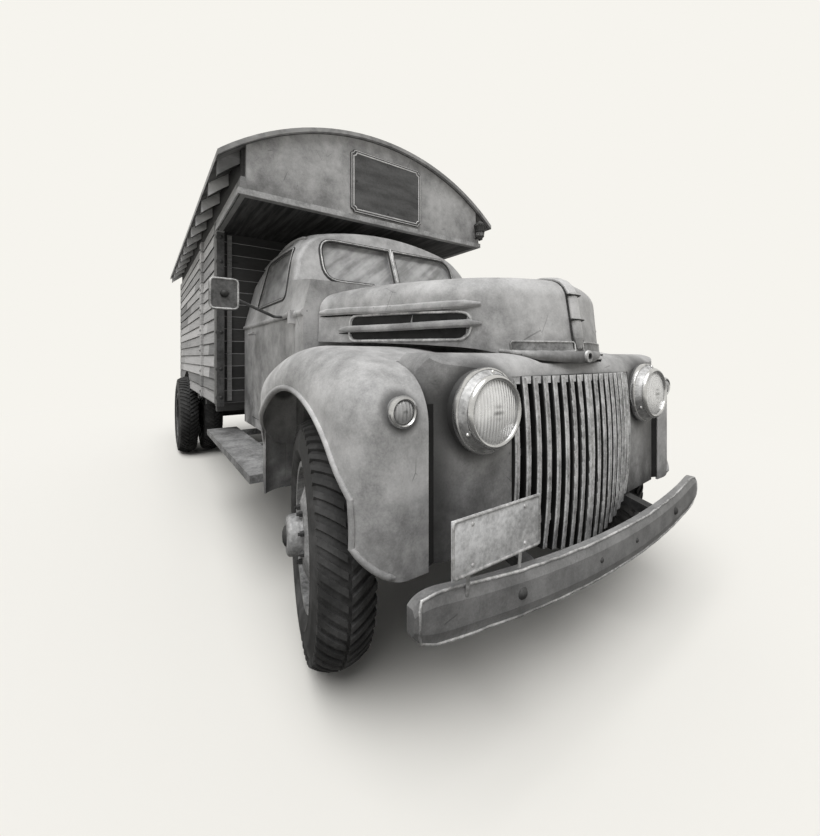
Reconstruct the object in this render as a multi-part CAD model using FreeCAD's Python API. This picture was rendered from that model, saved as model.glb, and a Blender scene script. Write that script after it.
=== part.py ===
"""A 1940s truck and a half with a home-built wooden house on its frame, in millimetres.

+X is forward, +Y the truck's left, +Z up. The origin is on the ground under the middle of the
whole vehicle. Stations along the truck are written from the front axle and moved by front_axle_x.
"""
import FreeCAD, Part
import math
import os

from FreeCAD import Rotation, Vector

# Running gear
wheelbase = 4010.0
tyre_radius = 459.0
tyre_width = 208.0
tyre_shoulder = 26.0
tyre_bead_radius = 262.0
rim_lip_radius = 278.0
rim_lip_width = 12.0
rim_wall = 8.0
rim_width = 168.0
disc_wall = 10.0
disc_dish = 92.0
disc_flat_radius = 118.0
hub_radius = 78.0
hub_reach = 58.0
hand_hole_radius = 27.0
hand_hole_circle = 190.0
hand_holes = 5
front_track_half = 800.0
dual_spacing = 252.0
spring_to_tyre = 63.0
rest_steer_deg = 13.0
kingpin_y = 640.0
kingpin_radius = 15.0
kingpin_length = 150.0
pin_clearance = 0.3
axle_eye_radius = 38.0
axle_eye_height = 84.0
fork_gap = 5.0
fork_thickness = 20.0
fork_back = 26.0
spindle_radius = 32.0
front_axle_width = 52.0
front_axle_height = 64.0
axle_drop = 60.0
axle_web = 20.0
axle_flange = 14.0
rear_tube_radius = 62.0
banjo_radius = 165.0
banjo_width = 150.0
flange_radius = 140.0
flange_wall = 16.0
brake_drum_radius = 190.0
brake_drum_width = 84.0

# Frame
rail_outer_y = 430.0
rail_height = 190.0
rail_flange = 62.0
rail_wall = 8.0
rail_top = 740.0
rail_front = 520.0
rail_rear = -4800.0
crossmember_width = 90.0
crossmember_height = 120.0
crossmember_stations = (440.0, -240.0, -1300.0, -2300.0, -3250.0)
shaft_clearance = 14.0
tow_plate_wall = 14.0
tow_plate_height = 150.0
tow_plate_width = 190.0
tow_hole_radius = 7.0
tow_hole_spacing_y = 85.7
tow_hole_spacing_z = 44.5
spring_width = 62.0
spring_leaf = 11.0
spring_leaves = 5
front_spring_half = 425.0
rear_spring_half = 600.0
spring_eye_radius = 20.0
front_spring_rise = 26.0
rear_spring_rise = 62.0
front_spring_y = 390.0
rear_spring_out = 70.0
u_bolt_block = 90.0
shaft_radius = 38.0

# Engine
engine_length = 700.0
engine_width = 420.0
engine_height = 430.0
engine_rear = -350.0
engine_bottom = 678.0
gearbox_z = 624.0
radiator_front = 440.0
radiator_depth = 70.0
radiator_width = 560.0
radiator_height = 440.0
gearbox_length = 520.0
gearbox_radius = 104.0

# Cab
cab_half_width = 756.0
cab_skirt_z = 668.0
cab_floor_z = 752.0
cab_floor_wall = 30.0
wheelhouse_radius = 545.0
wheelhouse_inner_y = 435.0
cab_wall = 42.0
cab_front = -400.0
cab_rear = -1700.0
cowl_top_z = 1545.0
belt_z = 1395.0
screen_foot_x = -700.0
screen_foot_z = 1590.0
screen_head_x = -820.0
screen_head_z = 1905.0
roof_top_z = 2034.0
roof_side_lean_share = 0.255
roof_corner_start_drop = 248.0
roof_corner_end_y = 468.0
roof_corner_end_drop = 60.0
roof_corner_bulge = 36.6
screen_round = 30.0
screen_half_width = 512.0
screen_corner = 100.0
screen_margin = 26.0
screen_divider = 34.0
glass_wall = 6.0
glass_inset = 18.0
rear_window_half = 300.0
rear_window_low = 1520.0
rear_window_high = 1790.0
window_corner = 34.0
window_frame = 62.0
screen_post = 52.0
door_front = -535.0
door_rear = -1480.0
door_low = 730.0
door_high = 1880.0
door_gap = 6.0
door_window_front = -690.0
door_window_rear = -1400.0
door_window_low = 1500.0
door_window_high = 1822.0
hinge_out = 26.0
hinge_radius = 9.0
hinge_length = 70.0
hinge_strap = 95.0
hinge_strap_wall = 8.0
hinge_heights = (860.0, 1330.0)
handle_length = 120.0
handle_radius = 9.0
handle_post_radius = 6.5
handle_out = 40.0

# Inside the cab
seat_length = 460.0
seat_width = 1220.0
seat_height = 300.0
seat_back_wall = 130.0
seat_back_height = 480.0
dash_depth = 110.0
dash_height = 180.0
dash_half = 600.0
dash_z = 1290.0
column_radius = 20.0
steering_wheel_radius = 215.0
steering_rim_radius = 12.0
steering_wheel_y = 360.0
steering_wheel_x = -930.0
steering_wheel_z = 1330.0
steering_lean_deg = 42.0
column_length = 700.0

# Hood and front sheet metal
sheet = 8.0
hood_gap = 12.0
hood_hinge_y = 300.0
hood_hinge_length = 60.0
hood_hinge_radius = 7.0
hood_lift_axis_z = 1548.0
hood_rear = -392.0
hood_foot_plan = ((-392.0, 692.0), (-80.0, 612.0), (250.0, 510.0), (350.0, 462.0), (437.0, 398.0), (500.0, 310.0),
                  (555.0, 190.0), (590.0, 92.0), (602.0, 0.0))
hood_crown_plan = ((-392.0, 664.0), (-80.0, 584.0), (250.0, 480.0), (340.0, 430.0), (410.0, 366.0), (462.0, 276.0),
                   (497.0, 160.0), (515.0, 70.0), (520.0, 0.0))
hood_foot_z = 1080.0
hood_crown_z = 1600.0
hood_top_line = ((-392.0, 1538.0), (-180.0, 1534.0), (100.0, 1512.0), (300.0, 1492.0), (450.0, 1474.0), (620.0, 1448.0))
hood_low_line = ((-392.0, 1235.0), (-80.0, 1222.0), (250.0, 1205.0), (350.0, 1197.0), (437.0, 1184.0),
                 (500.0, 1163.0), (560.0, 1146.0), (640.0, 1128.0))
hood_crown_half = 760.0
hood_crown_drop = 95.0
hood_shoulder = 90.0
hood_wall = 22.0
fender_outer_y = 962.0
fender_inner_y = 470.0
fender_corner = 170.0
fender_rear = -510.0
fender_front = 566.0
fender_top = 1202.0
fender_rear_low = 506.0
fender_front_low = 540.0
fender_shoulder_z = 960.0
fender_round = 150.0
fender_end_radius = 175.0
fender_wall = 9.0
arch_radius = 568.0
arch_lift = 4.0
nose_front = 582.0
nose_low = 548.0
nose_high = 1172.0
nose_back = 392.0
nose_round = 95.0
nose_shoulder = 78.0
nose_cheek = 70.0
nose_side_x = 500.0
nose_outer_y = 730.0
nose_wall = 10.0
grille_half_width = 392.0
grille_front = 640.0
grille_sweep = 46.0
grille_low = 446.0
grille_side_low = 550.0
grille_high = 1092.0
grille_bar_round = 6.0
grille_depth = 24.0
grille_bow = 20.0
grille_bars_a_side = 8
grille_bar_share = 0.62
grille_centre_bar = 46.0
grille_rail_height = 26.0
grille_rail_depth = 10.0
grille_ear = 26.0
lamp_x = 600.0
lamp_y = 528.0
lamp_z = 992.0
lamp_bezel_radius = 130.0
lamp_lens_radius = 90.0
lamp_pod_length = 150.0
lamp_bezel_depth = 34.0
lens_bulge = 22.0
marker_x = 548.0
marker_y = 818.0
marker_z = 1006.0
marker_radius = 46.0
marker_lens_radius = 34.0
marker_length = 70.0
bumper_front = 745.0
bumper_sweep = 55.0
bumper_half = 868.0
bumper_z = 466.0
bumper_height = 132.0
bumper_end_height = 66.0
bumper_end_run = 62.0
bumper_rise = 46.0
bumper_wall = 10.0
bumper_lip = 34.0
bumper_crown = 9.0
bracket_width = 52.0
bracket_wall = 16.0

# Running boards
board_outer_y = 980.0
board_inner_y = 764.0
board_top = 588.0
board_wall = 40.0
board_rear = -1960.0
board_bracket_stations = (-700.0, -1250.0, -1800.0)
board_bracket_size = 44.0

# House on the frame
house_half_width = 948.0
house_front = -1716.0
house_rear = -4890.0
house_low = 800.0
house_wall = 36.0
plank_height = 93.0
plank_lap = 7.0
wall_top = 2190.0
floor_top = 985.0
floor_wall = 32.0
joist_width = 60.0
joist_height = 76.0
joist_pitch = 420.0
joist_clearance = 32.0
sleeper_width = 74.0
outrigger_stations = (-1850.0, -2420.0, -2990.0)
outrigger_height = 62.0
wheel_clearance = 70.0
post_size = 46.0
over_front = -905.0
over_low = 2086.0
over_floor_wall = 26.0
over_band_height = 34.0
over_band_wall = 10.0
roof_radius = 1668.0
roof_rise = 486.0
roof_half_width = 1066.0
roof_wall = 24.0
roof_front = -872.0
roof_rear = -4985.0
rafter_depth = 62.0
rafter_width = 44.0
rafter_count = 12
frieze_wall = 20.0
batten_station = -2520.0
batten_width = 120.0
batten_wall = 16.0
rear_door_half = 330.0
rear_door_low = 1010.0
rear_door_high = 2120.0
rear_hinge_out = 12.0
rear_hinge_radius = 6.0
rear_hinge_heights = (1180.0, 1880.0)
sign_width = 560.0
sign_height = 330.0
sign_wall = 18.0
sign_z = 2375.0
sign_notch = 46.0
lantern_radius = 42.0
lantern_height = 105.0
lantern_y = 905.0

# Mirrors
mirror_x = -520.0
mirror_y = 1090.0
mirror_z = 1452.0
mirror_width = 128.0
mirror_height = 150.0
mirror_wall = 18.0
mirror_arm_radius = 8.0
mirror_foot = 60.0

# Shared clearances and overruns
seat_gap = 0.3
overrun = 60.0

front_reach = bumper_front
rear_reach = -roof_rear
front_axle_x = (rear_reach - front_reach) / 2
roof_peak = wall_top + roof_rise
roof_centre_z = roof_peak - roof_radius
rear_spring_y = rail_outer_y + rear_spring_out
rear_track_outer = rear_spring_y + spring_width / 2 + spring_to_tyre + tyre_width / 2 + dual_spacing

X_AXIS = Vector(1, 0, 0)
Y_AXIS = Vector(0, 1, 0)
Z_AXIS = Vector(0, 0, 1)


def at(x, y, z):
    """A point at station x from the front axle."""
    return Vector(front_axle_x + x, y, z)


def box(x0, x1, y0, y1, z0, z1):
    low = at(min(x0, x1), min(y0, y1), min(z0, z1))
    return Part.makeBox(abs(x1 - x0), abs(y1 - y0), abs(z1 - z0), low)


def rod(start, end, radius):
    along = end - start
    return Part.makeCylinder(radius, along.Length, start, along)


def side_prism(points, y0, y1):
    """A solid whose outline is drawn in X and Z, from y0 to y1."""
    wire = Part.makePolygon([at(x, y0, z) for x, z in points] + [at(points[0][0], y0, points[0][1])])
    return Part.Face(wire).extrude(Vector(0, y1 - y0, 0))


def end_prism(points, x0, x1):
    """A solid whose outline is drawn in Y and Z, from x0 to x1."""
    wire = Part.makePolygon([at(x0, y, z) for y, z in points] + [at(x0, *points[0])])
    return Part.Face(wire).extrude(Vector(x1 - x0, 0, 0))


def plan_prism(points, z0, z1):
    """A solid whose outline is drawn in X and Y, from z0 to z1."""
    wire = Part.makePolygon([at(x, y, z0) for x, y in points] + [at(points[0][0], points[0][1], z0)])
    return Part.Face(wire).extrude(Vector(0, 0, z1 - z0))


def other_side(shape):
    return shape.mirror(Vector(0, 0, 0), Y_AXIS)


def both_sides(shape):
    return Part.makeCompound([shape, other_side(shape)])


def fused(shapes):
    joined = shapes[0].fuse(list(shapes[1:])) if len(shapes) > 1 else shapes[0]
    return joined.removeSplitter()


def save(name, shape):
    solids = shape.Solids
    kept = solids[0] if len(solids) == 1 else Part.makeCompound(solids)
    kept.exportStep(f"parts/{name}.step")


def spline_wire(points):
    curve = Part.BSplineCurve()
    curve.interpolate(points)
    return curve.toShape()


# Wheels, drawn about the Y axis through the origin with the outer face toward -Y


def turned(profile):
    """A solid of revolution about the Y axis from points of radius and width."""
    wire = Part.makePolygon([Vector(r, w, 0) for r, w in profile] + [Vector(profile[0][0], profile[0][1], 0)])
    return Part.Face(wire).revolve(Vector(0, 0, 0), Y_AXIS, 360)


def tyre():
    half = tyre_width / 2
    crown = tyre_radius - tyre_shoulder
    bulge = (crown + tyre_bead_radius) / 2
    bead_half = rim_width / 2 - rim_lip_width - seat_gap
    lip = rim_lip_radius + pin_clearance
    outer = [
        Part.LineSegment(Vector(tyre_bead_radius, bead_half, 0), Vector(tyre_bead_radius, -bead_half, 0)),
        Part.LineSegment(Vector(tyre_bead_radius, -bead_half, 0), Vector(lip, -bead_half, 0)),
        Part.Arc(Vector(lip, -bead_half, 0), Vector(bulge, -half, 0), Vector(crown, tyre_shoulder - half, 0)),
        Part.Arc(
            Vector(crown, tyre_shoulder - half, 0), Vector(tyre_radius, 0, 0), Vector(crown, half - tyre_shoulder, 0)
        ),
        Part.Arc(Vector(crown, half - tyre_shoulder, 0), Vector(bulge, half, 0), Vector(lip, bead_half, 0)),
        Part.LineSegment(Vector(lip, bead_half, 0), Vector(tyre_bead_radius, bead_half, 0)),
    ]
    wire = Part.Wire([edge.toShape() for edge in outer])
    return Part.Face(wire).revolve(Vector(0, 0, 0), Y_AXIS, 360)


def rim(dish):
    """A steel disc wheel: barrel with lips, and a disc dished outward by dish at its hub."""
    half = rim_width / 2
    inner = tyre_bead_radius - rim_wall
    barrel = turned(
        [
            (inner, -half),
            (rim_lip_radius, -half),
            (rim_lip_radius, rim_lip_width - half),
            (tyre_bead_radius, rim_lip_width - half),
            (tyre_bead_radius, half - rim_lip_width),
            (rim_lip_radius, half - rim_lip_width),
            (rim_lip_radius, half),
            (inner, half),
        ]
    )
    shoulder = (disc_flat_radius + inner) / 2
    disc = turned(
        [
            (0, -dish),
            (disc_flat_radius, -dish),
            (shoulder, -dish * disc_shoulder_share),
            (inner, 0),
            (inner, disc_wall),
            (shoulder, disc_wall - dish * disc_shoulder_share),
            (disc_flat_radius - disc_wall, disc_wall - dish),
            (0, disc_wall - dish),
        ]
    )
    hub = rod(Vector(0, disc_wall - dish, 0), Vector(0, -dish - hub_reach, 0), hub_radius)
    hub = hub.makeFillet(hub_radius * hub_round_share, [hub.Edges[2] if hub.Edges[0].BoundBox.YMax > hub.Edges[2].BoundBox.YMax else hub.Edges[0]])
    wheel = fused([barrel, disc, hub])
    for hole in range(hand_holes):
        turn = 2 * math.pi * hole / hand_holes
        centre = Vector(hand_hole_circle * math.cos(turn), -dish - overrun, hand_hole_circle * math.sin(turn))
        wheel = wheel.cut(rod(centre, centre + Y_AXIS * (dish + overrun + overrun), hand_hole_radius))
    return wheel


disc_shoulder_share = 0.72
hub_round_share = 0.25


def placed(shape, x, y, turn_deg=0.0):
    """A wheel piece moved to its axle; a steered one is turned about its kingpin."""
    moved = shape.copy()
    moved.translate(at(x, y, tyre_radius))
    if turn_deg:
        pin = at(x, math.copysign(kingpin_y, y), 0)
        moved.rotate(pin, Z_AXIS, turn_deg)
    return moved


def front_wheels():
    tyre_right, rim_right = tyre(), rim(disc_dish)
    for side, sign in (("right", -1), ("left", 1)):
        shapes = [tyre_right, rim_right]
        if sign > 0:
            shapes = [other_side(shape) for shape in shapes]
        for kind, shape in zip(("tyre", "rim"), shapes):
            save(f"{kind}_front_{side}", placed(shape, 0, sign * front_track_half, -rest_steer_deg))


def rear_wheels():
    inner_y = rear_track_outer - dual_spacing
    outward = rim(disc_dish * dual_dish_share)
    inward = outward.copy()
    inward.rotate(Vector(0, 0, 0), Z_AXIS, 180)
    tyre_solid = tyre()
    tyres = [placed(tyre_solid, -wheelbase, -rear_track_outer), placed(tyre_solid, -wheelbase, -inner_y)]
    drum = rod(
        at(-wheelbase, -inner_y, tyre_radius),
        at(-wheelbase, brake_drum_width - inner_y, tyre_radius),
        brake_drum_radius,
    )
    axle_nave = rod(
        at(-wheelbase, -rear_track_outer, tyre_radius),
        at(-wheelbase, -inner_y, tyre_radius),
        hub_radius,
    )
    bore = rod(
        at(-wheelbase, -inner_y + brake_drum_width + drum_gap, tyre_radius),
        at(-wheelbase, -inner_y - spindle_reach - drum_gap, tyre_radius),
        rear_spindle_radius + pin_clearance,
    )
    rims = fused(
        [
            placed(rear_rim_face(True), -wheelbase, -rear_track_outer),
            placed(rear_rim_face(False), -wheelbase, -inner_y),
            axle_nave,
            drum,
        ]
    ).cut(bore)
    for side in ("right", "left"):
        flip = (lambda shape: shape) if side == "right" else other_side
        save(f"tyres_rear_{side}", Part.makeCompound([flip(t) for t in tyres]))
        save(f"rims_rear_{side}", flip(rims))


dual_dish_share = -0.45


def rear_rim_face(outer):
    """A dual wheel's rim: its disc lies inward on the outer wheel, outward on the inner one."""
    half = rim_width / 2
    inner = tyre_bead_radius - rim_wall
    reach = dual_spacing / 2 - disc_wall
    face = reach if outer else -reach
    step = disc_wall if outer else -disc_wall
    barrel = turned(
        [
            (inner, -half),
            (rim_lip_radius, -half),
            (rim_lip_radius, rim_lip_width - half),
            (tyre_bead_radius, rim_lip_width - half),
            (tyre_bead_radius, half - rim_lip_width),
            (rim_lip_radius, half - rim_lip_width),
            (rim_lip_radius, half),
            (inner, half),
        ]
    )
    disc = turned(
        [
            (0, face),
            (disc_flat_radius, face),
            (inner, 0),
            (inner, step),
            (disc_flat_radius, face + step),
            (0, face + step),
        ]
    )
    wheel = fused([barrel, disc])
    for hole in range(hand_holes):
        turn = 2 * math.pi * hole / hand_holes
        start = Vector(hand_hole_circle * math.cos(turn), -overrun - reach, hand_hole_circle * math.sin(turn))
        wheel = wheel.cut(rod(start, start + Y_AXIS * (2 * (reach + overrun)), hand_hole_radius))
    return wheel


def knuckles():
    eye_top = tyre_radius + axle_eye_height / 2
    eye_low = tyre_radius - axle_eye_height / 2
    y = -kingpin_y
    pin_half = kingpin_length / 2
    pin = rod(at(0, y, tyre_radius - pin_half), at(0, y, tyre_radius + pin_half), kingpin_radius)
    arm_r = axle_eye_radius
    top_arm = rod(at(0, y, eye_top + fork_gap), at(0, y, eye_top + fork_gap + fork_thickness), arm_r)
    low_arm = rod(at(0, y, eye_low - fork_gap), at(0, y, eye_low - fork_gap - fork_thickness), arm_r)
    back_y = y - axle_eye_radius - fork_gap
    web = box(
        -arm_r, arm_r, back_y, back_y - fork_back,
        eye_low - fork_gap - fork_thickness, eye_top + fork_gap + fork_thickness,
    )
    bridge_top = box(-arm_r, arm_r, y, back_y, eye_top + fork_gap, eye_top + fork_gap + fork_thickness)
    bridge_low = box(-arm_r, arm_r, y, back_y, eye_low - fork_gap, eye_low - fork_gap - fork_thickness)
    hub_face = -front_track_half - disc_dish + disc_wall + knuckle_to_hub
    spindle = rod(at(0, back_y, tyre_radius), at(0, hub_face, tyre_radius), spindle_radius)
    right = fused([pin, top_arm, low_arm, web, bridge_top, bridge_low, spindle])
    for side, shape in (("right", right), ("left", other_side(right))):
        sign = -1 if side == "right" else 1
        turned_shape = shape.copy()
        turned_shape.rotate(at(0, sign * kingpin_y, 0), Z_AXIS, -rest_steer_deg)
        save(f"knuckle_{side}", turned_shape)


knuckle_to_hub = 1.0


def front_axle():
    half = front_axle_height / 2
    wide = front_axle_width / 2
    low_z = tyre_radius - axle_drop
    run = kingpin_y - axle_eye_radius
    drop_y = run - axle_rise_run
    spine = [(-run, tyre_radius), (-drop_y, low_z), (drop_y, low_z), (run, tyre_radius)]
    outline = [(y, z + half) for y, z in spine] + [(y, z - half) for y, z in reversed(spine)]
    beam = end_prism(outline, -wide, wide)
    side_gap = (front_axle_width - axle_web) / 2
    for sign in (-1, 1):
        groove = [(y, z + half - axle_flange) for y, z in spine] + [
            (y, z - half + axle_flange) for y, z in reversed(spine)
        ]
        beam = beam.cut(end_prism(groove, sign * wide, sign * (wide - side_gap)))
    eyes = []
    for sign in (-1, 1):
        eye = rod(
            at(0, sign * kingpin_y, tyre_radius - axle_eye_height / 2),
            at(0, sign * kingpin_y, tyre_radius + axle_eye_height / 2),
            axle_eye_radius,
        )
        neck = box(-wide, wide, sign * run, sign * (run + axle_eye_radius / 2), tyre_radius - half, tyre_radius + half)
        eyes += [eye, neck]
    axle = fused([beam] + eyes)
    for sign in (-1, 1):
        bore = rod(
            at(0, sign * kingpin_y, tyre_radius - axle_eye_height),
            at(0, sign * kingpin_y, tyre_radius + axle_eye_height),
            kingpin_radius + pin_clearance,
        )
        axle = axle.cut(bore)
    save("front_axle", axle)


axle_rise_run = 120.0


def leaf_spring(centre_x, y, half, base_z, rise_end):
    """A pack of curved leaves, each shorter than the one before, with rolled eyes on the main leaf."""
    wide = spring_width / 2
    leaves = []
    for leaf in range(spring_leaves):
        z_low = base_z + (spring_leaves - 1 - leaf) * spring_leaf
        ends = range(leaf - spring_steps, spring_steps - leaf + 1)
        curve = [(centre_x + half * k / spring_steps, z_low + rise_end * (k / spring_steps) ** 2) for k in ends]
        top = [(x, z + spring_leaf) for x, z in reversed(curve)]
        leaves.append(side_prism(curve + top, y - wide, y + wide))
    eye_z = base_z + (spring_leaves - 1) * spring_leaf + rise_end + spring_leaf / 2
    for sign in (-1, 1):
        centre = at(centre_x + sign * half, y - wide, eye_z)
        leaves.append(rod(centre, centre + Y_AXIS * spring_width, spring_eye_radius))
    return leaves, eye_z


spring_steps = 7
hanger_wall = 9.0


def springs():
    beam_top = tyre_radius - axle_drop + front_axle_height / 2
    wide = spring_width / 2
    r = spring_eye_radius
    rail_low = rail_top - rail_height
    front, eye_z = leaf_spring(0, front_spring_y, front_spring_half, beam_top, front_spring_rise)
    for sign in (-1, 1):
        x = sign * front_spring_half
        for y in (front_spring_y - wide - hanger_wall, front_spring_y + wide):
            front.append(box(x - r, x + r, y, y + hanger_wall, eye_z - r, rail_low))
    save("front_springs", both_sides(fused(front)))
    tube_top = tyre_radius + rear_tube_radius
    rear, eye_z = leaf_spring(-wheelbase, rear_spring_y, rear_spring_half, tube_top + u_bolt_pad, rear_spring_rise)
    rear.append(
        box(
            -wheelbase - u_bolt_block / 2, -wheelbase + u_bolt_block / 2, rear_spring_y - wide, rear_spring_y + wide,
            tyre_radius + rear_tube_radius * pad_share, tube_top + u_bolt_pad + spring_leaf,
        )
    )
    for sign in (-1, 1):
        x = sign * rear_spring_half - wheelbase
        rear.append(box(x - r, x + r, rail_outer_y, rear_spring_y - wide, eye_z - r, eye_z + r))
    tube = rod(
        at(-wheelbase, 0, tyre_radius), at(-wheelbase, rear_spring_y + spring_width, tyre_radius), rear_tube_radius
    )
    save("rear_springs", both_sides(fused(rear).cut(tube)))


u_bolt_pad = 16.0
pad_share = 0.6


def rear_axle():
    reach = rear_track_outer - dual_spacing - brake_drum_width - drum_gap
    tube = rod(at(-wheelbase, -reach, tyre_radius), at(-wheelbase, reach, tyre_radius), rear_tube_radius)
    half = banjo_width / 2
    banjo = rod(at(-wheelbase - half, 0, tyre_radius), at(-wheelbase + half, 0, tyre_radius), banjo_radius)
    banjo = banjo.makeFillet(banjo_width * banjo_round_share, banjo.Edges[0:1] + banjo.Edges[2:3])
    nose_start = at(half - spring_leaf - wheelbase, 0, tyre_radius)
    nose = Part.makeCone(banjo_radius * banjo_nose_share, shaft_radius, shaft_nose, nose_start, X_AXIS)
    plates = [
        rod(at(-wheelbase, sign * (reach - flange_wall), tyre_radius), at(-wheelbase, sign * reach, tyre_radius), flange_radius)
        for sign in (-1, 1)
    ]
    end_y = rear_track_outer - dual_spacing + spindle_reach
    spindle = rod(at(-wheelbase, -end_y, tyre_radius), at(-wheelbase, end_y, tyre_radius), rear_spindle_radius)
    save("rear_axle", fused([tube, banjo, nose, spindle] + plates))


drum_gap = 6.0
rear_spindle_radius = 40.0
spindle_reach = 90.0
shaft_nose = 150.0
banjo_round_share = 0.3
banjo_nose_share = 0.62


def shaft_line(radius):
    start = at(engine_rear - gearbox_length, 0, gearbox_z)
    end = at(banjo_width / 2 + shaft_nose - wheelbase, 0, tyre_radius)
    return rod(start, end, radius)


def drive_line():
    half = engine_width / 2
    block = box(engine_rear, engine_rear + engine_length, -half, half, engine_bottom, engine_bottom + engine_height)
    gearbox = rod(
        at(engine_rear + gearbox_radius, 0, gearbox_z), at(engine_rear - gearbox_length, 0, gearbox_z), gearbox_radius
    )
    core = box(
        radiator_front - radiator_depth, radiator_front, -radiator_width / 2, radiator_width / 2,
        engine_bottom, engine_bottom + radiator_height,
    )
    save("engine_block", fused([block, gearbox]))
    save("radiator", core)
    save("drive_shaft", shaft_line(shaft_radius).cut(gearbox))


def frame():
    low = rail_top - rail_height
    rail = box(rail_rear, rail_front, rail_outer_y - rail_flange, rail_outer_y, low, rail_top)
    hollow = box(
        rail_rear - overrun, rail_front + overrun, rail_outer_y - rail_flange - overrun, rail_outer_y - rail_wall,
        low + rail_wall, rail_top - rail_wall,
    )
    rails = [rail.cut(hollow)]
    rails.append(other_side(rails[0]))
    members = []
    inner = rail_outer_y - rail_wall
    for x in crossmember_stations + (rail_rear + crossmember_width,):
        z0 = low + rail_wall
        member = box(x - crossmember_width, x, -inner, inner, z0, z0 + crossmember_height)
        members.append(
            member.cut(box(x - crossmember_width + rail_wall, x - rail_wall, -inner, inner, z0 - overrun, z0 + crossmember_height - rail_wall))
        )
    plate_z = low + rail_wall + crossmember_height / 2
    plate = box(
        rail_rear - tow_plate_wall, rail_rear, -tow_plate_width / 2, tow_plate_width / 2,
        plate_z - tow_plate_height / 2, plate_z + tow_plate_height / 2,
    )
    whole = fused(rails + members + [plate]).cut(shaft_line(shaft_radius + shaft_clearance))
    gear_start = at(engine_rear + overrun * 2, 0, gearbox_z)
    whole = whole.cut(rod(gear_start, at(engine_rear - gearbox_length, 0, gearbox_z), gearbox_radius + seat_gap))
    for sign_y in (-1, 1):
        for sign_z in (-1, 1):
            y = sign_y * tow_hole_spacing_y / 2
            z = plate_z + sign_z * tow_hole_spacing_z / 2
            whole = whole.cut(rod(at(rail_rear - overrun, y, z), at(rail_rear + overrun, y, z), tow_hole_radius))
    save("frame", whole)


def cab_section(x, top, low, inset):
    """The cab cut across at one station: upright to the belt, leaning in above it, round at the roof's corners."""
    corner_z = top - roof_corner_start_drop
    half = cab_half_width - inset
    corner_y = half - (corner_z - belt_z) * roof_side_lean_share
    end_y = roof_corner_end_y - inset * roof_side_lean_share
    end_z = top - roof_corner_end_drop - inset
    bulge = roof_corner_bulge / math.sqrt(2)
    mid_y, mid_z = (corner_y + end_y) / 2 + bulge, (corner_z + end_z) / 2 + bulge
    right = [(half, low), (half, belt_z), (corner_y, corner_z), (end_y, end_z)]
    edges = []
    for sign in (1, -1):
        points = [at(x, sign * y, z) for y, z in right]
        edges.append(Part.LineSegment(points[0], points[1]).toShape())
        edges.append(Part.LineSegment(points[1], points[2]).toShape())
        edges.append(Part.Arc(points[2], at(x, sign * mid_y, mid_z), points[3]).toShape())
    edges.append(Part.Arc(at(x, end_y, end_z), at(x, 0, top - inset), at(x, -end_y, end_z)).toShape())
    edges.append(Part.LineSegment(at(x, -half, low), at(x, half, low)).toShape())
    return Part.Wire(Part.sortEdges(edges)[0])


def cab_volume(inset, low, rounded=False):
    """The cab's form set in by inset: a body lofted from the back, cut by the cowl and the windshield's slope."""
    sections = [cab_section(x, top, low, inset) for x, top in cab_top_line]
    body = Part.makeLoft(sections, True, False)
    slope = (screen_head_x - screen_foot_x) / (screen_head_z - screen_foot_z)
    high = roof_top_z + overrun
    outline = [
        (cab_rear + inset, low - overrun),
        (cab_front - inset, low - overrun),
        (cab_front - inset, cowl_top_z - inset),
        (screen_foot_x - inset, screen_foot_z - inset),
        (screen_foot_x - inset + slope * (high - screen_foot_z + inset), high),
        (cab_rear + inset, high),
    ]
    body = body.common(side_prism(outline, -cab_half_width - overrun, cab_half_width + overrun))
    if rounded:
        body = body.makeFillet(screen_round, [edge for edge in body.Edges if on_screen_rim(edge)])
    return body


def on_screen_rim(edge):
    """Whether an edge lies in the windshield's sloping face, above its foot."""
    ends = [vertex.Point for vertex in edge.Vertexes]
    middle = edge.valueAt((edge.FirstParameter + edge.LastParameter) / 2)
    return all(
        point.z > screen_foot_z - sheet and abs(point.x - front_axle_x - screen_x(point.z)) < 1 for point in ends + [middle]
    ) and edge.BoundBox.ZMax > screen_foot_z + sheet


cab_top_line = (
    (cab_rear - 20.0, 1918.0), (-1560.0, 1988.0), (-1350.0, 2022.0), (-1130.0, roof_top_z), (-980.0, 2020.0),
    (-850.0, 1985.0), (-700.0, 1925.0), (cab_front + 20.0, 1880.0),
)


def screen_x(z):
    """The windshield's own slope, carried up or down to height z."""
    return screen_foot_x + (screen_head_x - screen_foot_x) * (z - screen_foot_z) / (screen_head_z - screen_foot_z)


def door_zone(gap, y0, y1):
    """The door's outline: upright to the belt, then following the windshield post."""
    front, rear = door_front - gap, door_rear + gap
    low, high = door_low + gap, door_high - gap
    post = screen_post + gap
    points = [
        (front, low), (front, belt_z), (screen_x(screen_foot_z) - post, screen_foot_z),
        (screen_x(high) - post, high), (rear, high), (rear, low),
    ]
    return side_prism(points, y0, y1)


def door_window(y0, y1):
    post = screen_post + window_frame
    points = [
        (screen_x(door_window_low) - post, door_window_low), (screen_x(door_window_high) - post, door_window_high),
        (door_window_rear, door_window_high), (door_window_rear, door_window_low),
    ]
    shape = side_prism(points, y0, y1)
    long = [e for e in shape.Edges if e.BoundBox.YLength > abs(y1 - y0) / 2]
    return shape.makeFillet(window_corner, long)


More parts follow.
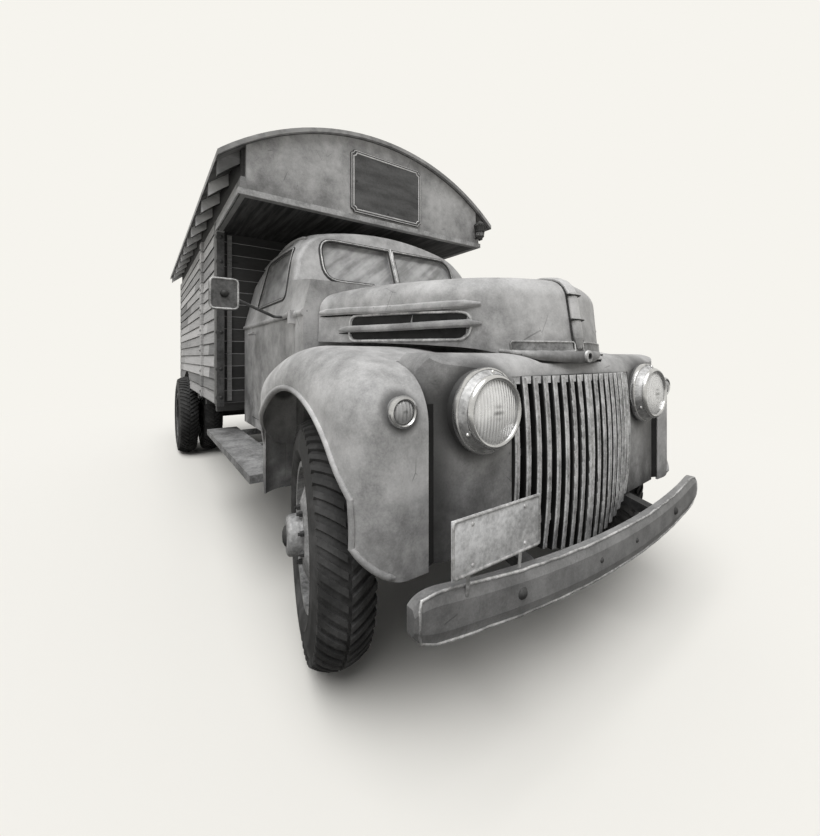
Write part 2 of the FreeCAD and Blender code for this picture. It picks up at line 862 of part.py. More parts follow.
def cab():
    out_y = cab_half_width + overrun
    in_y = cab_half_width * cab_core_share
    outer = cab_volume(0, cab_skirt_z, rounded=True)
    inner = cab_volume(cab_wall, cab_skirt_z - overrun)
    floor = box(cab_rear, cab_front, -cab_half_width, cab_half_width, cab_floor_z, cab_floor_z + cab_floor_wall)
    houses, linings = [], []
    for sign in (-1, 1):
        y0, y1 = sign * wheelhouse_inner_y, sign * out_y
        houses.append(rod(at(0, y0, tyre_radius), at(0, y1, tyre_radius), wheelhouse_radius))
        linings.append(rod(at(0, y0 - sign * sheet, tyre_radius), at(0, y1, tyre_radius), wheelhouse_radius + sheet))
    wall_only = outer.cut(inner)
    inner = inner.cut(floor)
    for lining in linings:
        inner = inner.cut(lining)
    shell = outer.cut(inner)
    for house_arch in houses:
        shell = shell.cut(house_arch)
    keep_out = box(cab_rear - overrun, cab_front + overrun, -wheelhouse_inner_y, wheelhouse_inner_y, 0, cab_floor_z)
    shell = shell.cut(keep_out)
    screen = box(
        screen_head_x - overrun - cab_wall, cab_front, -screen_half_width, screen_half_width,
        screen_foot_z + screen_margin, screen_head_z - screen_margin,
    )
    post = box(
        screen_head_x - 2 * overrun, cab_front + overrun, -screen_divider / 2, screen_divider / 2,
        screen_foot_z, screen_head_z,
    )
    corners = [e for e in screen.Edges if e.BoundBox.XLength > cab_wall]
    screen = screen.makeFillet(screen_corner, corners).cut(post)
    back = box(
        cab_rear - overrun, cab_rear + cab_wall + overrun, -rear_window_half, rear_window_half,
        rear_window_low, rear_window_high,
    )
    door_panes, door_shells = [], []
    glass_out = cab_volume(glass_inset, cab_skirt_z)
    glass_in = cab_volume(glass_inset + glass_wall, cab_skirt_z)
    glass = glass_out.cut(glass_in)
    save("cab_glass", Part.makeCompound([glass.common(screen), glass.common(back)]))
    body = shell.cut(screen).cut(back)
    for side, sign in (("right", -1), ("left", 1)):
        zone = door_zone(0, sign * in_y, sign * out_y)
        sill_y = sign * (cab_half_width - cab_wall - door_gap)
        sill = box(door_rear, door_front, sign * in_y, sill_y, cab_floor_z, cab_floor_z + cab_floor_wall)
        leaf = door_zone(door_gap, sign * in_y, sign * out_y)
        window = door_window(sign * in_y, sign * out_y)
        body = body.cut(zone).fuse(sill)
        hinge_x, hinge_y = hinge_axis(sign)
        swing = rod(at(hinge_x, hinge_y, 0), at(hinge_x, hinge_y, roof_top_z), door_front - door_rear - door_gap)
        save(f"door_glass_{side}", glass.common(window))
        if sign < 0:
            panel = wall_only.common(leaf).common(swing).cut(window)
            right_door = fused([panel] + door_fittings(sign))
            save("door_right", right_door)
            save("door_left", other_side(right_door))
    pins = []
    for sign in (-1, 1):
        y0 = sign * hood_hinge_y
        y1 = sign * (hood_hinge_y + hood_hinge_length)
        r = hood_hinge_radius
        pins.append(box(cab_front - cab_wall / 2, hood_rear, y0, y1, hood_lift_axis_z - r, hood_lift_axis_z + r))
        pins.append(rod(at(hood_rear, y0, hood_lift_axis_z), at(hood_rear, y1, hood_lift_axis_z), r))
        for z in hinge_heights:
            pins.append(cab_hinge(sign, z))
    save("cab_shell", fused([body] + pins))


cab_core_share = 0.795


def hinge_axis(sign):
    return door_front, sign * (cab_half_width + hinge_out)


def cab_hinge(sign, z):
    """A fixed lug on the cowl side with the lower knuckle of the hinge."""
    x, y = hinge_axis(sign)
    high = z + hinge_length * hinge_split_share
    lug = box(x, x + hinge_radius * 2, sign * (cab_half_width - hinge_strap_wall), y, z, high)
    return fused([lug, rod(at(x, y, z), at(x, y, high), hinge_radius)])


def door_fittings(sign):
    """Hinge leaves above the fixed knuckles, and the outside handle."""
    x, y = hinge_axis(sign)
    pieces = []
    for z in hinge_heights:
        z0 = z + hinge_length * hinge_split_share + hinge_lift
        z1 = z + hinge_length
        pieces.append(box(x - hinge_strap, x - hinge_radius, sign * (cab_half_width - hinge_strap_wall), sign * (cab_half_width + hinge_strap_wall), z0, z1))
        pieces.append(box(x - hinge_radius * 2, x, sign * (cab_half_width + hinge_lift), y, z0, z1))
        pieces.append(rod(at(x, y, z0), at(x, y, z1), hinge_radius))
    hx = door_rear + handle_length
    hz = belt_z - handle_drop
    hy = sign * (cab_half_width + handle_out)
    pieces.append(rod(at(hx, sign * (cab_half_width - hinge_strap_wall), hz), at(hx, hy, hz), handle_post_radius))
    pieces.append(rod(at(hx - handle_radius, hy, hz), at(hx + handle_length - handle_radius, hy, hz), handle_radius))
    return pieces


hinge_lift = 0.3
hinge_split_share = 0.34
handle_drop = 80.0


def mirrors():
    for side, sign in (("right", -1), ("left", 1)):
        head = box(
            mirror_x - mirror_wall / 2, mirror_x + mirror_wall / 2,
            sign * mirror_y - mirror_width / 2, sign * mirror_y + mirror_width / 2,
            mirror_z - mirror_height / 2, mirror_z + mirror_height / 2,
        )
        head = head.makeFillet(mirror_width * mirror_round_share, [e for e in head.Edges if e.BoundBox.XLength > mirror_wall * 0.9])
        foot_x = door_front - hinge_strap - mirror_foot
        foot_y = sign * (cab_half_width + seat_gap)
        foot_z = belt_z + mirror_foot * mirror_foot_share
        elbow = at(foot_x, sign * (cab_half_width + mirror_foot), foot_z)
        arm = [
            rod(at(foot_x, foot_y, foot_z), elbow, mirror_arm_radius),
            Part.makeSphere(mirror_arm_radius, elbow),
            rod(elbow, at(mirror_x, sign * mirror_y, mirror_z), mirror_arm_radius),
            box(foot_x - mirror_foot / 2, foot_x + mirror_foot / 2, foot_y, sign * (cab_half_width + hinge_strap_wall), foot_z - mirror_foot / 4, foot_z + mirror_foot / 4),
        ]
        save(f"mirror_{side}", fused([head] + arm))


mirror_round_share = 0.24
mirror_foot_share = -0.3


def cab_inside():
    floor_z = cab_floor_z + cab_floor_wall
    rear = cab_rear + cab_wall
    seat = box(rear + seat_gap, rear + seat_length + seat_back_wall, -seat_width / 2, seat_width / 2, floor_z, floor_z + seat_height)
    back = box(rear + seat_gap, rear + seat_back_wall, -seat_width / 2, seat_width / 2, floor_z + seat_height, floor_z + seat_height + seat_back_height)
    save("bench_seat", fused([seat, back]))
    front = cab_front - cab_wall
    dash = box(front - dash_depth, front - seat_gap, -dash_half, dash_half, dash_z, dash_z + dash_height)
    lean = math.radians(steering_lean_deg)
    centre = at(steering_wheel_x, steering_wheel_y, steering_wheel_z)
    along = Vector(math.cos(lean), 0, -math.sin(lean))
    start = centre + along * (column_radius + seat_gap)
    column = rod(start, start + along * column_length, column_radius)
    floor_cut = box(cab_rear, cab_front + overrun, -cab_half_width, cab_half_width, 0, floor_z)
    front_cut = box(front, cab_front + overrun * 10, -cab_half_width, cab_half_width, 0, cowl_top_z)
    column = column.cut(floor_cut).cut(front_cut)
    save("dashboard", dash.cut(rod(start, start + along * column_length, column_radius)))
    save("steering_column", column)
    ring = Part.makeTorus(steering_wheel_radius, steering_rim_radius, centre, along)
    hub = rod(centre - along * column_radius, centre + along * column_radius, column_radius * steering_hub_share)
    spokes = []
    across = Y_AXIS
    for turn in (90, 210, 330):
        direction = Rotation(along, turn).multVec(across)
        spokes.append(rod(centre, centre + direction * steering_wheel_radius, steering_rim_radius * spoke_share))
    save("steering_wheel", fused([ring, hub] + spokes))


steering_hub_share = 1.6
spoke_share = 0.7


def hood_plan(points, z, grow):
    """The hood's outline seen from above, blunt at the nose, grown outward by grow."""
    rear, last = points[0], len(points) - 1
    right = []
    for i, (x, y) in enumerate(points):
        lean = i / last
        right.append(at(x + grow * lean, -(y + grow * (1 - lean ** 4)) if y else 0, z))
    outline = right + [Vector(p.x, -p.y, p.z) for p in reversed(right[:-1])]
    back = Part.LineSegment(outline[-1], outline[0]).toShape()
    return Part.Wire([spline_wire(outline), back])


def hood_volume(grow, drop, shoulder=0.0):
    """The hood's form grown by grow, with its lower edge dropped by drop and its shoulders rounded."""
    plans = [hood_plan(hood_foot_plan, hood_foot_z, grow), hood_plan(hood_crown_plan, hood_crown_z, grow)]
    body = Part.makeLoft(plans, True, True)
    arches = []
    for x, top in hood_top_line:
        z = top + grow
        side_z = z - hood_crown_drop
        corners = [
            at(x, hood_crown_half, side_z), at(x, hood_crown_half, hood_foot_z - overrun),
            at(x, -hood_crown_half, hood_foot_z - overrun), at(x, -hood_crown_half, side_z),
        ]
        edges = [Part.Arc(corners[3], at(x, 0, z), corners[0]).toShape()]
        edges += [Part.LineSegment(a, b).toShape() for a, b in zip(corners, corners[1:])]
        arches.append(Part.Wire(edges))
    body = body.common(Part.makeLoft(arches, True, False))
    low = [at(x, -hood_crown_half, z - drop) for x, z in hood_low_line]
    under = [low[-1], Vector(low[-1].x, low[-1].y, 0), Vector(low[0].x, low[0].y, 0), low[0]]
    edges = [spline_wire(low)] + [Part.LineSegment(a, b).toShape() for a, b in zip(under, under[1:])]
    body = body.cut(Part.Face(Part.Wire(edges)).extrude(Y_AXIS * (2 * hood_crown_half)))
    if not shoulder:
        return body
    length = hood_foot_plan[-1][0] - hood_rear
    top_z = hood_low_line[0][1]
    rim = [e for e in body.Edges if e.BoundBox.ZMin > top_z and e.BoundBox.XLength > length / 2]
    return body.makeFillet(shoulder, rim)


def hood():
    outer = hood_volume(0, 0, hood_shoulder)
    inner = hood_volume(-hood_wall, hood_wall, hood_shoulder - hood_wall)
    knuckles_on_hood = []
    top = hood_top_line[0][1]
    for sign in (-1, 1):
        y0 = sign * (hood_hinge_y - hinge_lift)
        y1 = sign * (hood_hinge_y - hood_hinge_length)
        x, z, r = hood_rear, hood_lift_axis_z, hood_hinge_radius
        knuckles_on_hood.append(box(x, x + 2 * r, y0, y1, top - hood_crown_drop, z + r).cut(inner))
        knuckles_on_hood.append(rod(at(x, y0, z), at(x, y1, z), r))
    save("hood", fused([outer.cut(inner)] + knuckles_on_hood))


def fender_volume(inset, low_drop):
    """The pontoon fender's form: a side outline with its outer edges rolled over."""
    front = fender_front - inset
    rear = fender_rear + inset
    top = fender_top - inset
    y_out = fender_outer_y - inset
    low = fender_rear_low - low_drop
    radius = fender_end_radius - inset
    half, rise = (front - rear) / 2, top - fender_shoulder_z
    crown = (half ** 2 + rise ** 2 - 2 * half * radius) / (2 * (rise - radius))
    lean = math.acos((half - radius) / (crown - radius))
    joins, middles = [], []
    for end_x, sign in ((rear, 1), (front, -1)):
        centre_x = end_x + sign * radius
        for angle, points in ((lean, joins), (lean / 2, middles)):
            points.append(at(centre_x - sign * radius * math.cos(angle), 0, fender_shoulder_z + radius * math.sin(angle)))
    first, shoulder = at(rear, 0, low), at(rear, 0, fender_shoulder_z)
    chin, last = at(front, 0, fender_shoulder_z), at(front, 0, low)
    edges = [
        Part.LineSegment(first, shoulder).toShape(),
        Part.Arc(shoulder, middles[0], joins[0]).toShape(),
        Part.Arc(joins[0], at((front + rear) / 2, 0, top), joins[1]).toShape(),
        Part.Arc(joins[1], middles[1], chin).toShape(),
        Part.LineSegment(chin, last).toShape(),
        Part.LineSegment(last, first).toShape(),
    ]
    face = Part.Face(Part.Wire(edges))
    face.translate(Vector(0, -y_out, 0))
    solid = face.extrude(Vector(0, y_out - fender_inner_y + fender_tuck, 0))
    rolled = []
    for edge in solid.Edges:
        bb = edge.BoundBox
        if abs(bb.YMin + y_out) < sheet and abs(bb.YMax + y_out) < sheet and bb.ZMax > low + sheet:
            rolled.append(edge)
    return solid.makeFillet(fender_round - inset, rolled)


fender_tuck = 4.0


def fenders():
    outer = fender_volume(0, 0)
    inner = fender_volume(fender_wall, overrun)
    inner_more = inner.copy()
    inner_more.translate(Vector(0, fender_wall, 0))
    shell = outer.cut(inner).cut(inner_more)
    arch = rod(at(0, -fender_outer_y - overrun, tyre_radius + arch_lift), at(0, -fender_outer_y + fender_round, tyre_radius + arch_lift), arch_radius)
    low_box = box(-arch_radius * arch_open_share, arch_radius, -fender_outer_y - overrun, -fender_outer_y + fender_round, 0, tyre_radius + arch_lift)
    chin_box = box(0, fender_front + overrun, -fender_outer_y - overrun, -fender_inner_y + overrun, 0, fender_front_low)
    corner_y, corner_z = fender_corner - fender_outer_y, fender_front_low + fender_corner
    corner_box = box(0, fender_front + overrun, -fender_outer_y - overrun, corner_y, 0, corner_z)
    corner_box = corner_box.cut(rod(at(0, corner_y, corner_z), at(fender_front + overrun, corner_y, corner_z), fender_corner))
    shell = shell.cut(arch).cut(low_box).cut(chin_box).cut(corner_box)
    shell = shell.cut(box(cab_rear, cab_front + seat_gap, -cab_half_width - seat_gap, 0, 0, cowl_top_z))
    shell = shell.cut(nose_volume(seat_gap))
    shell = shell.cut(box(nose_back - seat_gap, fender_front + overrun, -nose_outer_y - seat_gap, 0, 0, fender_top + sheet))
    shell = shell.cut(hood_volume(hood_gap, hood_gap))
    pod_front = at(lamp_x + overrun, -lamp_y, lamp_z)
    shell = shell.cut(rod(pod_front - X_AXIS * (lamp_pod_length + overrun + sheet), pod_front, lamp_bezel_radius + seat_gap))
    save("fender_right", shell)
    save("fender_left", other_side(shell))


arch_open_share = 0.8


def aprons():
    """Inner walls of the engine bay, standing on the rails and following the fenders' tops."""
    wall = fender_volume(fender_wall + apron_clearance, 0)
    wall.translate(Y_AXIS * (fender_inner_y - apron_y))
    slab = box(cab_front + seat_gap, nose_back - seat_gap - sheet, -apron_y, sheet - apron_y, rail_top, apron_high)
    foot = box(cab_front + seat_gap, rail_front - overrun, -apron_y, -rail_outer_y + rail_flange / 2, rail_top, rail_top + sheet)
    save("aprons", both_sides(fused([slab.common(wall), foot])))


apron_y = 452.0
apron_high = 1120.0
apron_clearance = 12.0


def nose_volume(grow, reach=0.0):
    """The form of the panel round the grille: swept back, round at its cheeks, its brow and its top sides."""
    front, half, top = nose_front + grow, nose_outer_y + grow, nose_high + grow
    back, low = nose_back - grow - reach, nose_low - grow - reach
    sweep_x = front - nose_sweep
    trim = min(grow, 0)
    outline = [
        (back, -half), (sweep_x, -half), (front, -grille_half_width),
        (front, grille_half_width), (sweep_x, half), (back, half),
    ]
    plan = plan_prism(outline, low, top + overrun)
    cheek_x = front_axle_x + sweep_x
    plan = plan.makeFillet(nose_cheek + trim, [
        e for e in plan.Edges if e.BoundBox.ZLength > top - low and abs(e.BoundBox.XMin - cheek_x) < sheet
    ])
    brow = box(back - overrun, front, -half - overrun, half + overrun, low - overrun, top)
    brow = brow.makeFillet(nose_round + trim, [
        e for e in brow.Edges if e.BoundBox.ZMin > top - sheet and e.BoundBox.XMin > front_axle_x + front - sheet
    ])
    sides = box(back - overrun, front + overrun, -half, half, low - overrun, top + sheet)
    sides = sides.makeFillet(nose_shoulder + trim, [
        e for e in sides.Edges if e.BoundBox.ZMin > top and e.BoundBox.XLength > overrun
    ])
    return plan.common(brow).common(sides)


def hood_shadow():
    """Room for the hood over the nose: its lower outline grown by the gap and carried straight up."""
    plan = Part.Face(hood_plan(hood_foot_plan, hood_foot_z, hood_gap))
    under = [(x, z - hood_gap) for x, z in hood_low_line]
    under += [(hood_low_line[-1][0], 0), (hood_low_line[0][0], 0)]
    return plan.extrude(Z_AXIS * (hood_crown_z - hood_foot_z)).cut(side_prism(under, -hood_crown_half, hood_crown_half))


def nose_panel():
    panel = nose_volume(0).cut(nose_volume(-nose_wall, overrun))
    opening_half = grille_half_width + seat_gap
    opening = box(
        nose_front - overrun - nose_round, nose_front + overrun, -opening_half, opening_half,
        nose_low - overrun, grille_high + seat_gap,
    )
    panel = panel.cut(opening)
    shelf_z = nose_high - nose_round - nose_wall
    panel = panel.cut(box(nose_back - overrun, nose_side_x, -nose_outer_y - overrun, nose_outer_y + overrun, 0, shelf_z))
    panel = panel.cut(hood_shadow())
    panel = panel.cut(box(0, nose_front + overrun, 0, nose_outer_y + overrun, 0, nose_high + overrun))
    centre = at(lamp_x, -lamp_y, lamp_z)
    pod = rod(centre - X_AXIS * lamp_pod_length, centre, lamp_bezel_radius)
    hollow = rod(centre - X_AXIS * (lamp_pod_length - sheet), centre + X_AXIS * overrun, lamp_bezel_radius - sheet)
    panel = panel.fuse(pod).cut(hollow)
    save("nose_panel", fused([panel, other_side(panel)]))


nose_sweep = 26.0


def grille():
    pitch = (grille_half_width - grille_centre_bar / 2) / grille_bars_a_side
    width = pitch * grille_bar_share
    pieces = []

    def bar(y, wide, low):
        setback = grille_sweep * (y / grille_half_width) ** 2
        face = grille_front - setback
        mid = (low + grille_high) / 2
        front_top = at(face - grille_bow, y - wide / 2, grille_high)
        front_mid = at(face, y - wide / 2, mid)
        front_low = at(face - grille_bow, y - wide / 2, low)
        back = Vector(-grille_depth, 0, 0)
        edges = [
            Part.Arc(front_top, front_mid, front_low).toShape(),
            Part.LineSegment(front_low, front_low + back).toShape(),
            Part.Arc(front_low + back, front_mid + back, front_top + back).toShape(),
            Part.LineSegment(front_top + back, front_top).toShape(),
        ]
        solid = Part.Face(Part.Wire(edges)).extrude(Vector(0, wide, 0))
        face_edges = [e for e in solid.Edges if e.BoundBox.ZLength > (grille_high - low) / 2 and e.CenterOfMass.x > front_axle_x + face - grille_bow]
        return solid.makeFillet(grille_bar_round, face_edges)

    pieces.append(bar(0, grille_centre_bar, grille_low))
    for sign in (-1, 1):
        for i in range(grille_bars_a_side):
            y = sign * (grille_centre_bar / 2 + pitch * (i + 1) - width / 2)
            drop = grille_low + (grille_side_low - grille_low) * (abs(y) / grille_half_width) ** 2
            pieces.append(bar(y, width, drop))
    for z in (grille_high - grille_rail_height, (grille_high + grille_side_low) / 2, grille_side_low + grille_rail_height):
        points = []
        steps = 8
        for i in range(steps + 1):
            y = grille_half_width * (2 * i / steps - 1)
            points.append((grille_front - grille_depth - grille_sweep * (y / grille_half_width) ** 2, y))
        back = [(x - grille_rail_depth - grille_bow, y) for x, y in reversed(points)]
        pieces.append(plan_prism(points + back, z, z + grille_rail_height))
        ear_x = nose_front - nose_wall - seat_gap - nose_sweep * grille_ear / (nose_outer_y - grille_half_width)
        for sign in (-1, 1):
            pieces.append(
                box(
                    ear_x - grille_rail_depth - grille_bow, ear_x,
                    sign * (grille_half_width - grille_ear), sign * (grille_half_width + grille_ear), z, z + grille_rail_height,
                )
            )
    save("grille", fused(pieces))


def lamps():
    bezels, lenses, markers = [], [], []
    for sign in (-1, 1):
        centre = at(lamp_x, sign * lamp_y, lamp_z)
        outer = Part.makeCone(lamp_bezel_radius, lamp_bezel_radius - lamp_bezel_depth / 2, lamp_bezel_depth, centre + X_AXIS * seat_gap, X_AXIS)
        inner = rod(centre - X_AXIS * overrun, centre + X_AXIS * (lamp_bezel_depth + overrun), lamp_lens_radius)
        bezels.append(outer.cut(inner))
        ball = (lamp_lens_radius ** 2 + lens_bulge ** 2) / (2 * lens_bulge)
        dome = Part.makeSphere(ball, centre + X_AXIS * (lamp_bezel_depth / 2 + lens_bulge - ball))
        barrel = rod(centre - X_AXIS * lamp_bezel_depth, centre + X_AXIS * (lamp_bezel_depth + overrun), lamp_lens_radius - seat_gap)
        lenses.append(barrel.common(dome))
        spot = at(marker_x, sign * marker_y, marker_z)
        shade = Part.makeCone(marker_radius * marker_root_share, marker_radius, marker_length, spot - X_AXIS * marker_length * marker_root_share, X_AXIS)
        markers.append(shade)
    save("headlamp_bezels", Part.makeCompound(bezels))
    save("headlamp_lenses", Part.makeCompound(lenses))
    fender = fender_volume(0, 0)
    cut = [markers[0].cut(fender), markers[1].cut(other_side(fender))]
    save("fender_lamps", Part.makeCompound(cut))


marker_root_share = 0.75


def bumper_section(y, share, inset):
    """The bumper cut across: a channel's outline, or its hollow when set in by the wall."""
    x = bumper_front - bumper_sweep * share ** 2
    z = bumper_z + bumper_rise * share ** 2
    run = max(0.0, abs(y) - bumper_half + bumper_end_run) / bumper_end_run
    half = (bumper_height - (bumper_height - bumper_end_height) * run ** 2) / 2 - inset
    face = x - inset
    back = x - bumper_lip - (overrun if inset else 0)
    points = [
        at(back, y, z - half), at(face - bumper_crown, y, z - half), at(face, y, z - half / 2), at(face, y, z + half / 2),
        at(face - bumper_crown, y, z + half), at(back, y, z + half),
    ]
    return Part.makePolygon(points + [points[0]])


def bumper_volume(inset):
    reach = bumper_half - inset
    near_end = bumper_half - bumper_end_run
    steps = [near_end * (2 * i / bumper_steps - 1) for i in range(bumper_steps + 1)]
    middle = (reach + near_end) / 2
    stations = [-reach, -middle] + steps + [middle, reach]
    return Part.makeLoft([bumper_section(y, y / bumper_half, inset) for y in stations], True, False)


def bumper():
    save("front_bumper", bumper_volume(0).cut(bumper_volume(bumper_wall)))
    arms = []
    low_rail = rail_top - rail_height
    y0 = rail_outer_y - bracket_width
    share = rail_outer_y / bumper_half
    back_x = bumper_front - bumper_sweep * share ** 2 - bumper_wall - seat_gap
    arm_z = bumper_z + bumper_rise * share ** 2
    arm_half = (bumper_height / 2 - bumper_wall) * bracket_share / 2
    points = [
        (rail_front - bracket_run, low_rail),
        (rail_front, low_rail),
        (back_x, arm_z + arm_half),
        (back_x, arm_z - arm_half),
        (rail_front, low_rail - bracket_wall - arm_half),
        (rail_front - bracket_run, low_rail - bracket_wall),
    ]
    arm = side_prism(points, y0, rail_outer_y)
    save("bumper_brackets", both_sides(arm))


bumper_steps = 10
bracket_share = 0.8
bracket_run = 60.0


def running_boards():
    low = board_top - board_wall
    outline = [
        (fender_rear - seat_gap, -board_inner_y),
        (fender_rear - seat_gap, -board_outer_y),
        (board_rear, -board_outer_y),
        (board_rear, -board_inner_y),
    ]
    tread = plan_prism(outline, low, board_top)
    hollow = box(board_rear + board_skin, fender_rear - board_skin, -board_outer_y + board_skin, -board_inner_y - board_skin, low - overrun, board_top - board_skin)
    pieces = [tread.cut(hollow)]
    for x in board_bracket_stations:
        z1 = board_top - board_skin
        pieces.append(box(x - board_bracket_size / 2, x + board_bracket_size / 2, -board_outer_y + board_skin, -rail_outer_y - seat_gap, low - board_skin, z1))
    right = fused(pieces)
    save("running_boards", both_sides(right))


board_skin = 6.0


def roof_disc(radius, x0, x1):
    return rod(at(x0, 0, roof_centre_z), at(x1, 0, roof_centre_z), radius)


def eave_box(x0, x1, grow=0.0):
    return box(x0, x1, -roof_half_width - grow, roof_half_width + grow, roof_centre_z, roof_peak + overrun)


def house_side():
    """Lapped planks over the whole side, with the part over the cab and the wheel opening."""
    out = -house_half_width
    rows = math.ceil((wall_top - house_low) / plank_height)
    outline = [(out + house_wall, house_low)]
    for row in range(rows):
        z0 = house_low + row * plank_height
        z1 = min(z0 + plank_height, wall_top)
        outline += [(out, z0), (out + plank_lap, z1)]
    outline.append((out + house_wall, wall_top))
    wall = end_prism(outline, house_rear, over_front)
    notch = box(house_front, over_front + overrun, out - overrun, out + house_wall + overrun, house_low - overrun, over_low)
    arch = rod(
        at(-wheelbase, out - overrun, tyre_radius), at(-wheelbase, out + house_wall + overrun, tyre_radius), tyre_radius + wheel_clearance
    )
    return wall.cut(notch).cut(arch)


def house():
    x0 = batten_station - batten_width / 2
    batten = box(x0, x0 + batten_width, -house_half_width - batten_wall, -house_half_width + plank_lap, house_low, wall_top)
    side = fused([house_side(), batten])
    save("house_side_right", side)
    save("house_side_left", other_side(side))
    inner_y = house_half_width - house_wall - seat_gap
    rail_z = rail_top
    joist_low = floor_top - floor_wall - joist_height
    pieces = []
    for sign in (-1, 1):
        y = sign * (rail_outer_y - sleeper_width / 2)
        pieces.append(box(rail_rear, house_front - house_wall - seat_gap, y - sleeper_width / 2, y + sleeper_width / 2, rail_z, joist_low))
    count = int((house_front - house_rear) // joist_pitch)
    for i in range(count + 1):
        x = house_front - house_wall - joist_pitch * i - joist_width
        pieces.append(box(x - joist_width / 2, x + joist_width / 2, -inner_y, inner_y, joist_low, floor_top - floor_wall))
    for x in outrigger_stations:
        pieces.append(box(x - joist_width / 2, x + joist_width / 2, -house_half_width + house_wall / 2, house_half_width - house_wall / 2, rail_z, house_low))
        pieces.append(box(x - joist_width / 2, x + joist_width / 2, -inner_y, inner_y, house_low, joist_low))
    joists = fused(pieces)
    dual_inner_y = rear_track_outer - dual_spacing - tyre_width / 2 - wheel_clearance
    for sign in (-1, 1):
        wheel_well = rod(
            at(-wheelbase, sign * dual_inner_y, tyre_radius), at(-wheelbase, sign * (house_half_width + overrun), tyre_radius),
            tyre_radius + joist_clearance,
        )
        joists = joists.cut(wheel_well)
    save("floor_joists", joists)
    rear_in = house_rear + house_wall
    floor = box(
        rear_in + seat_gap, house_front - house_wall - seat_gap, -inner_y, inner_y, floor_top - floor_wall, floor_top
    )
    over_floor = box(
        house_front - house_wall, over_front - house_wall - seat_gap, -inner_y, inner_y,
        over_low + seat_gap, over_low + over_floor_wall,
    )
    save("house_floors", Part.makeCompound([floor, over_floor]))
    front_wall = box(house_front - house_wall, house_front, -inner_y, inner_y, house_low, over_low)
    front_wall = front_wall.cut(box(house_front - 2 * house_wall, house_front + house_wall, -inner_y, inner_y, house_low - overrun, front_wall_low))
    save("house_front_wall", front_wall)
    under = roof_disc(roof_radius - roof_wall - seat_gap, house_rear - overrun, over_front + overrun)
    gable = box(over_front - house_wall, over_front, -inner_y, inner_y, over_low, roof_peak)
    rear = box(house_rear, rear_in, -inner_y, inner_y, house_low, roof_peak)
    opening = box(house_rear - overrun, rear_in + overrun, -rear_door_half, rear_door_half, rear_door_low, rear_door_high)
    save("over_cab_front", gable.common(under))
    rear_wall = rear.common(under).cut(opening)
    band = box(over_front, over_front + over_band_wall, -house_half_width, house_half_width, over_low, over_low + over_band_height)
    side_band = box(over_front + over_band_wall, house_front, -house_half_width - over_band_wall, -house_half_width, over_low, over_low + over_band_height)
    posts = []
    for sign in (-1, 1):
        y = sign * house_half_width
        posts.append(box(house_front - post_size / 2, house_front + post_size, y - sign * post_size, y + sign * post_wall, house_low - post_drop, over_low).cut(
            box(house_front - post_size, house_front, y - sign * 2 * post_size, y, house_low - overrun, over_low + overrun)))
    save("house_irons", fused([band, side_band, other_side(side_band)] + posts))
    door_gap_y = rear_door_half - door_gap
    door = box(house_rear - plank_lap, rear_in - plank_lap, -door_gap_y, door_gap_y, rear_door_low + door_gap, rear_door_high - door_gap)
    x, y, r = house_rear - plank_lap - rear_hinge_out, -rear_door_half, rear_hinge_radius
    door_face = house_rear - plank_lap
    leaves, fixed = [door], []
    for z in rear_hinge_heights:
        z_mid = z + hinge_length * hinge_split_share
        z_top = z + hinge_length
        fixed.append(box(x, house_rear + plank_lap, y - r, y, z, z_mid))
        fixed.append(rod(at(x, y, z), at(x, y, z_mid), r))
        fixed.append(box(house_rear - r, house_rear + plank_lap, y - hinge_strap, y - r, z, z_mid))
        z_low = z_mid + hinge_lift
        leaves.append(box(x, door_face, y, y + 2 * r, z_low, z_top))
        leaves.append(box(door_face - r, door_face + plank_lap, y + 2 * r, y + hinge_strap, z_low, z_top))
        leaves.append(rod(at(x, y, z_low), at(x, y, z_top), r))
    save("house_rear_wall", fused([rear_wall] + fixed))
    save("rear_door", fused(leaves))


post_wall = 6.0
post_drop = 6.0
front_wall_low = 812.0


def roof():
    skin = roof_disc(roof_radius, roof_rear, roof_front).cut(roof_disc(roof_radius - roof_wall, roof_rear - overrun, roof_front + overrun))
    save("roof_skin", skin.common(eave_box(roof_rear, roof_front)))
    bows = []
    first = over_front - house_wall - rafter_width
    last = house_rear + house_wall + rafter_width
    ring_out = roof_disc(roof_radius - roof_wall, roof_rear, roof_front)
    ring_in = roof_disc(roof_radius - roof_wall - rafter_depth, roof_rear - overrun, roof_front + overrun)
    ring = ring_out.cut(ring_in)
    for i in range(rafter_count):
        x = first + (last - first) * i / (rafter_count - 1)
        bows.append(ring.common(eave_box(x - rafter_width / 2, x + rafter_width / 2, -rafter_back)))
    rafters = Part.makeCompound(bows)
    save("roof_rafters", rafters)
    side_y = house_half_width - plank_lap - frieze_back
    frieze = box(house_rear + house_wall, over_front - house_wall, -side_y, -side_y + frieze_wall, wall_top, roof_peak)
    frieze = frieze.common(roof_disc(roof_radius - roof_wall - seat_gap, house_rear, over_front))
    for bow in bows:
        frieze = frieze.cut(bow)
    save("frieze_boards", both_sides(frieze))


rafter_back = 12.0
frieze_back = 10.0


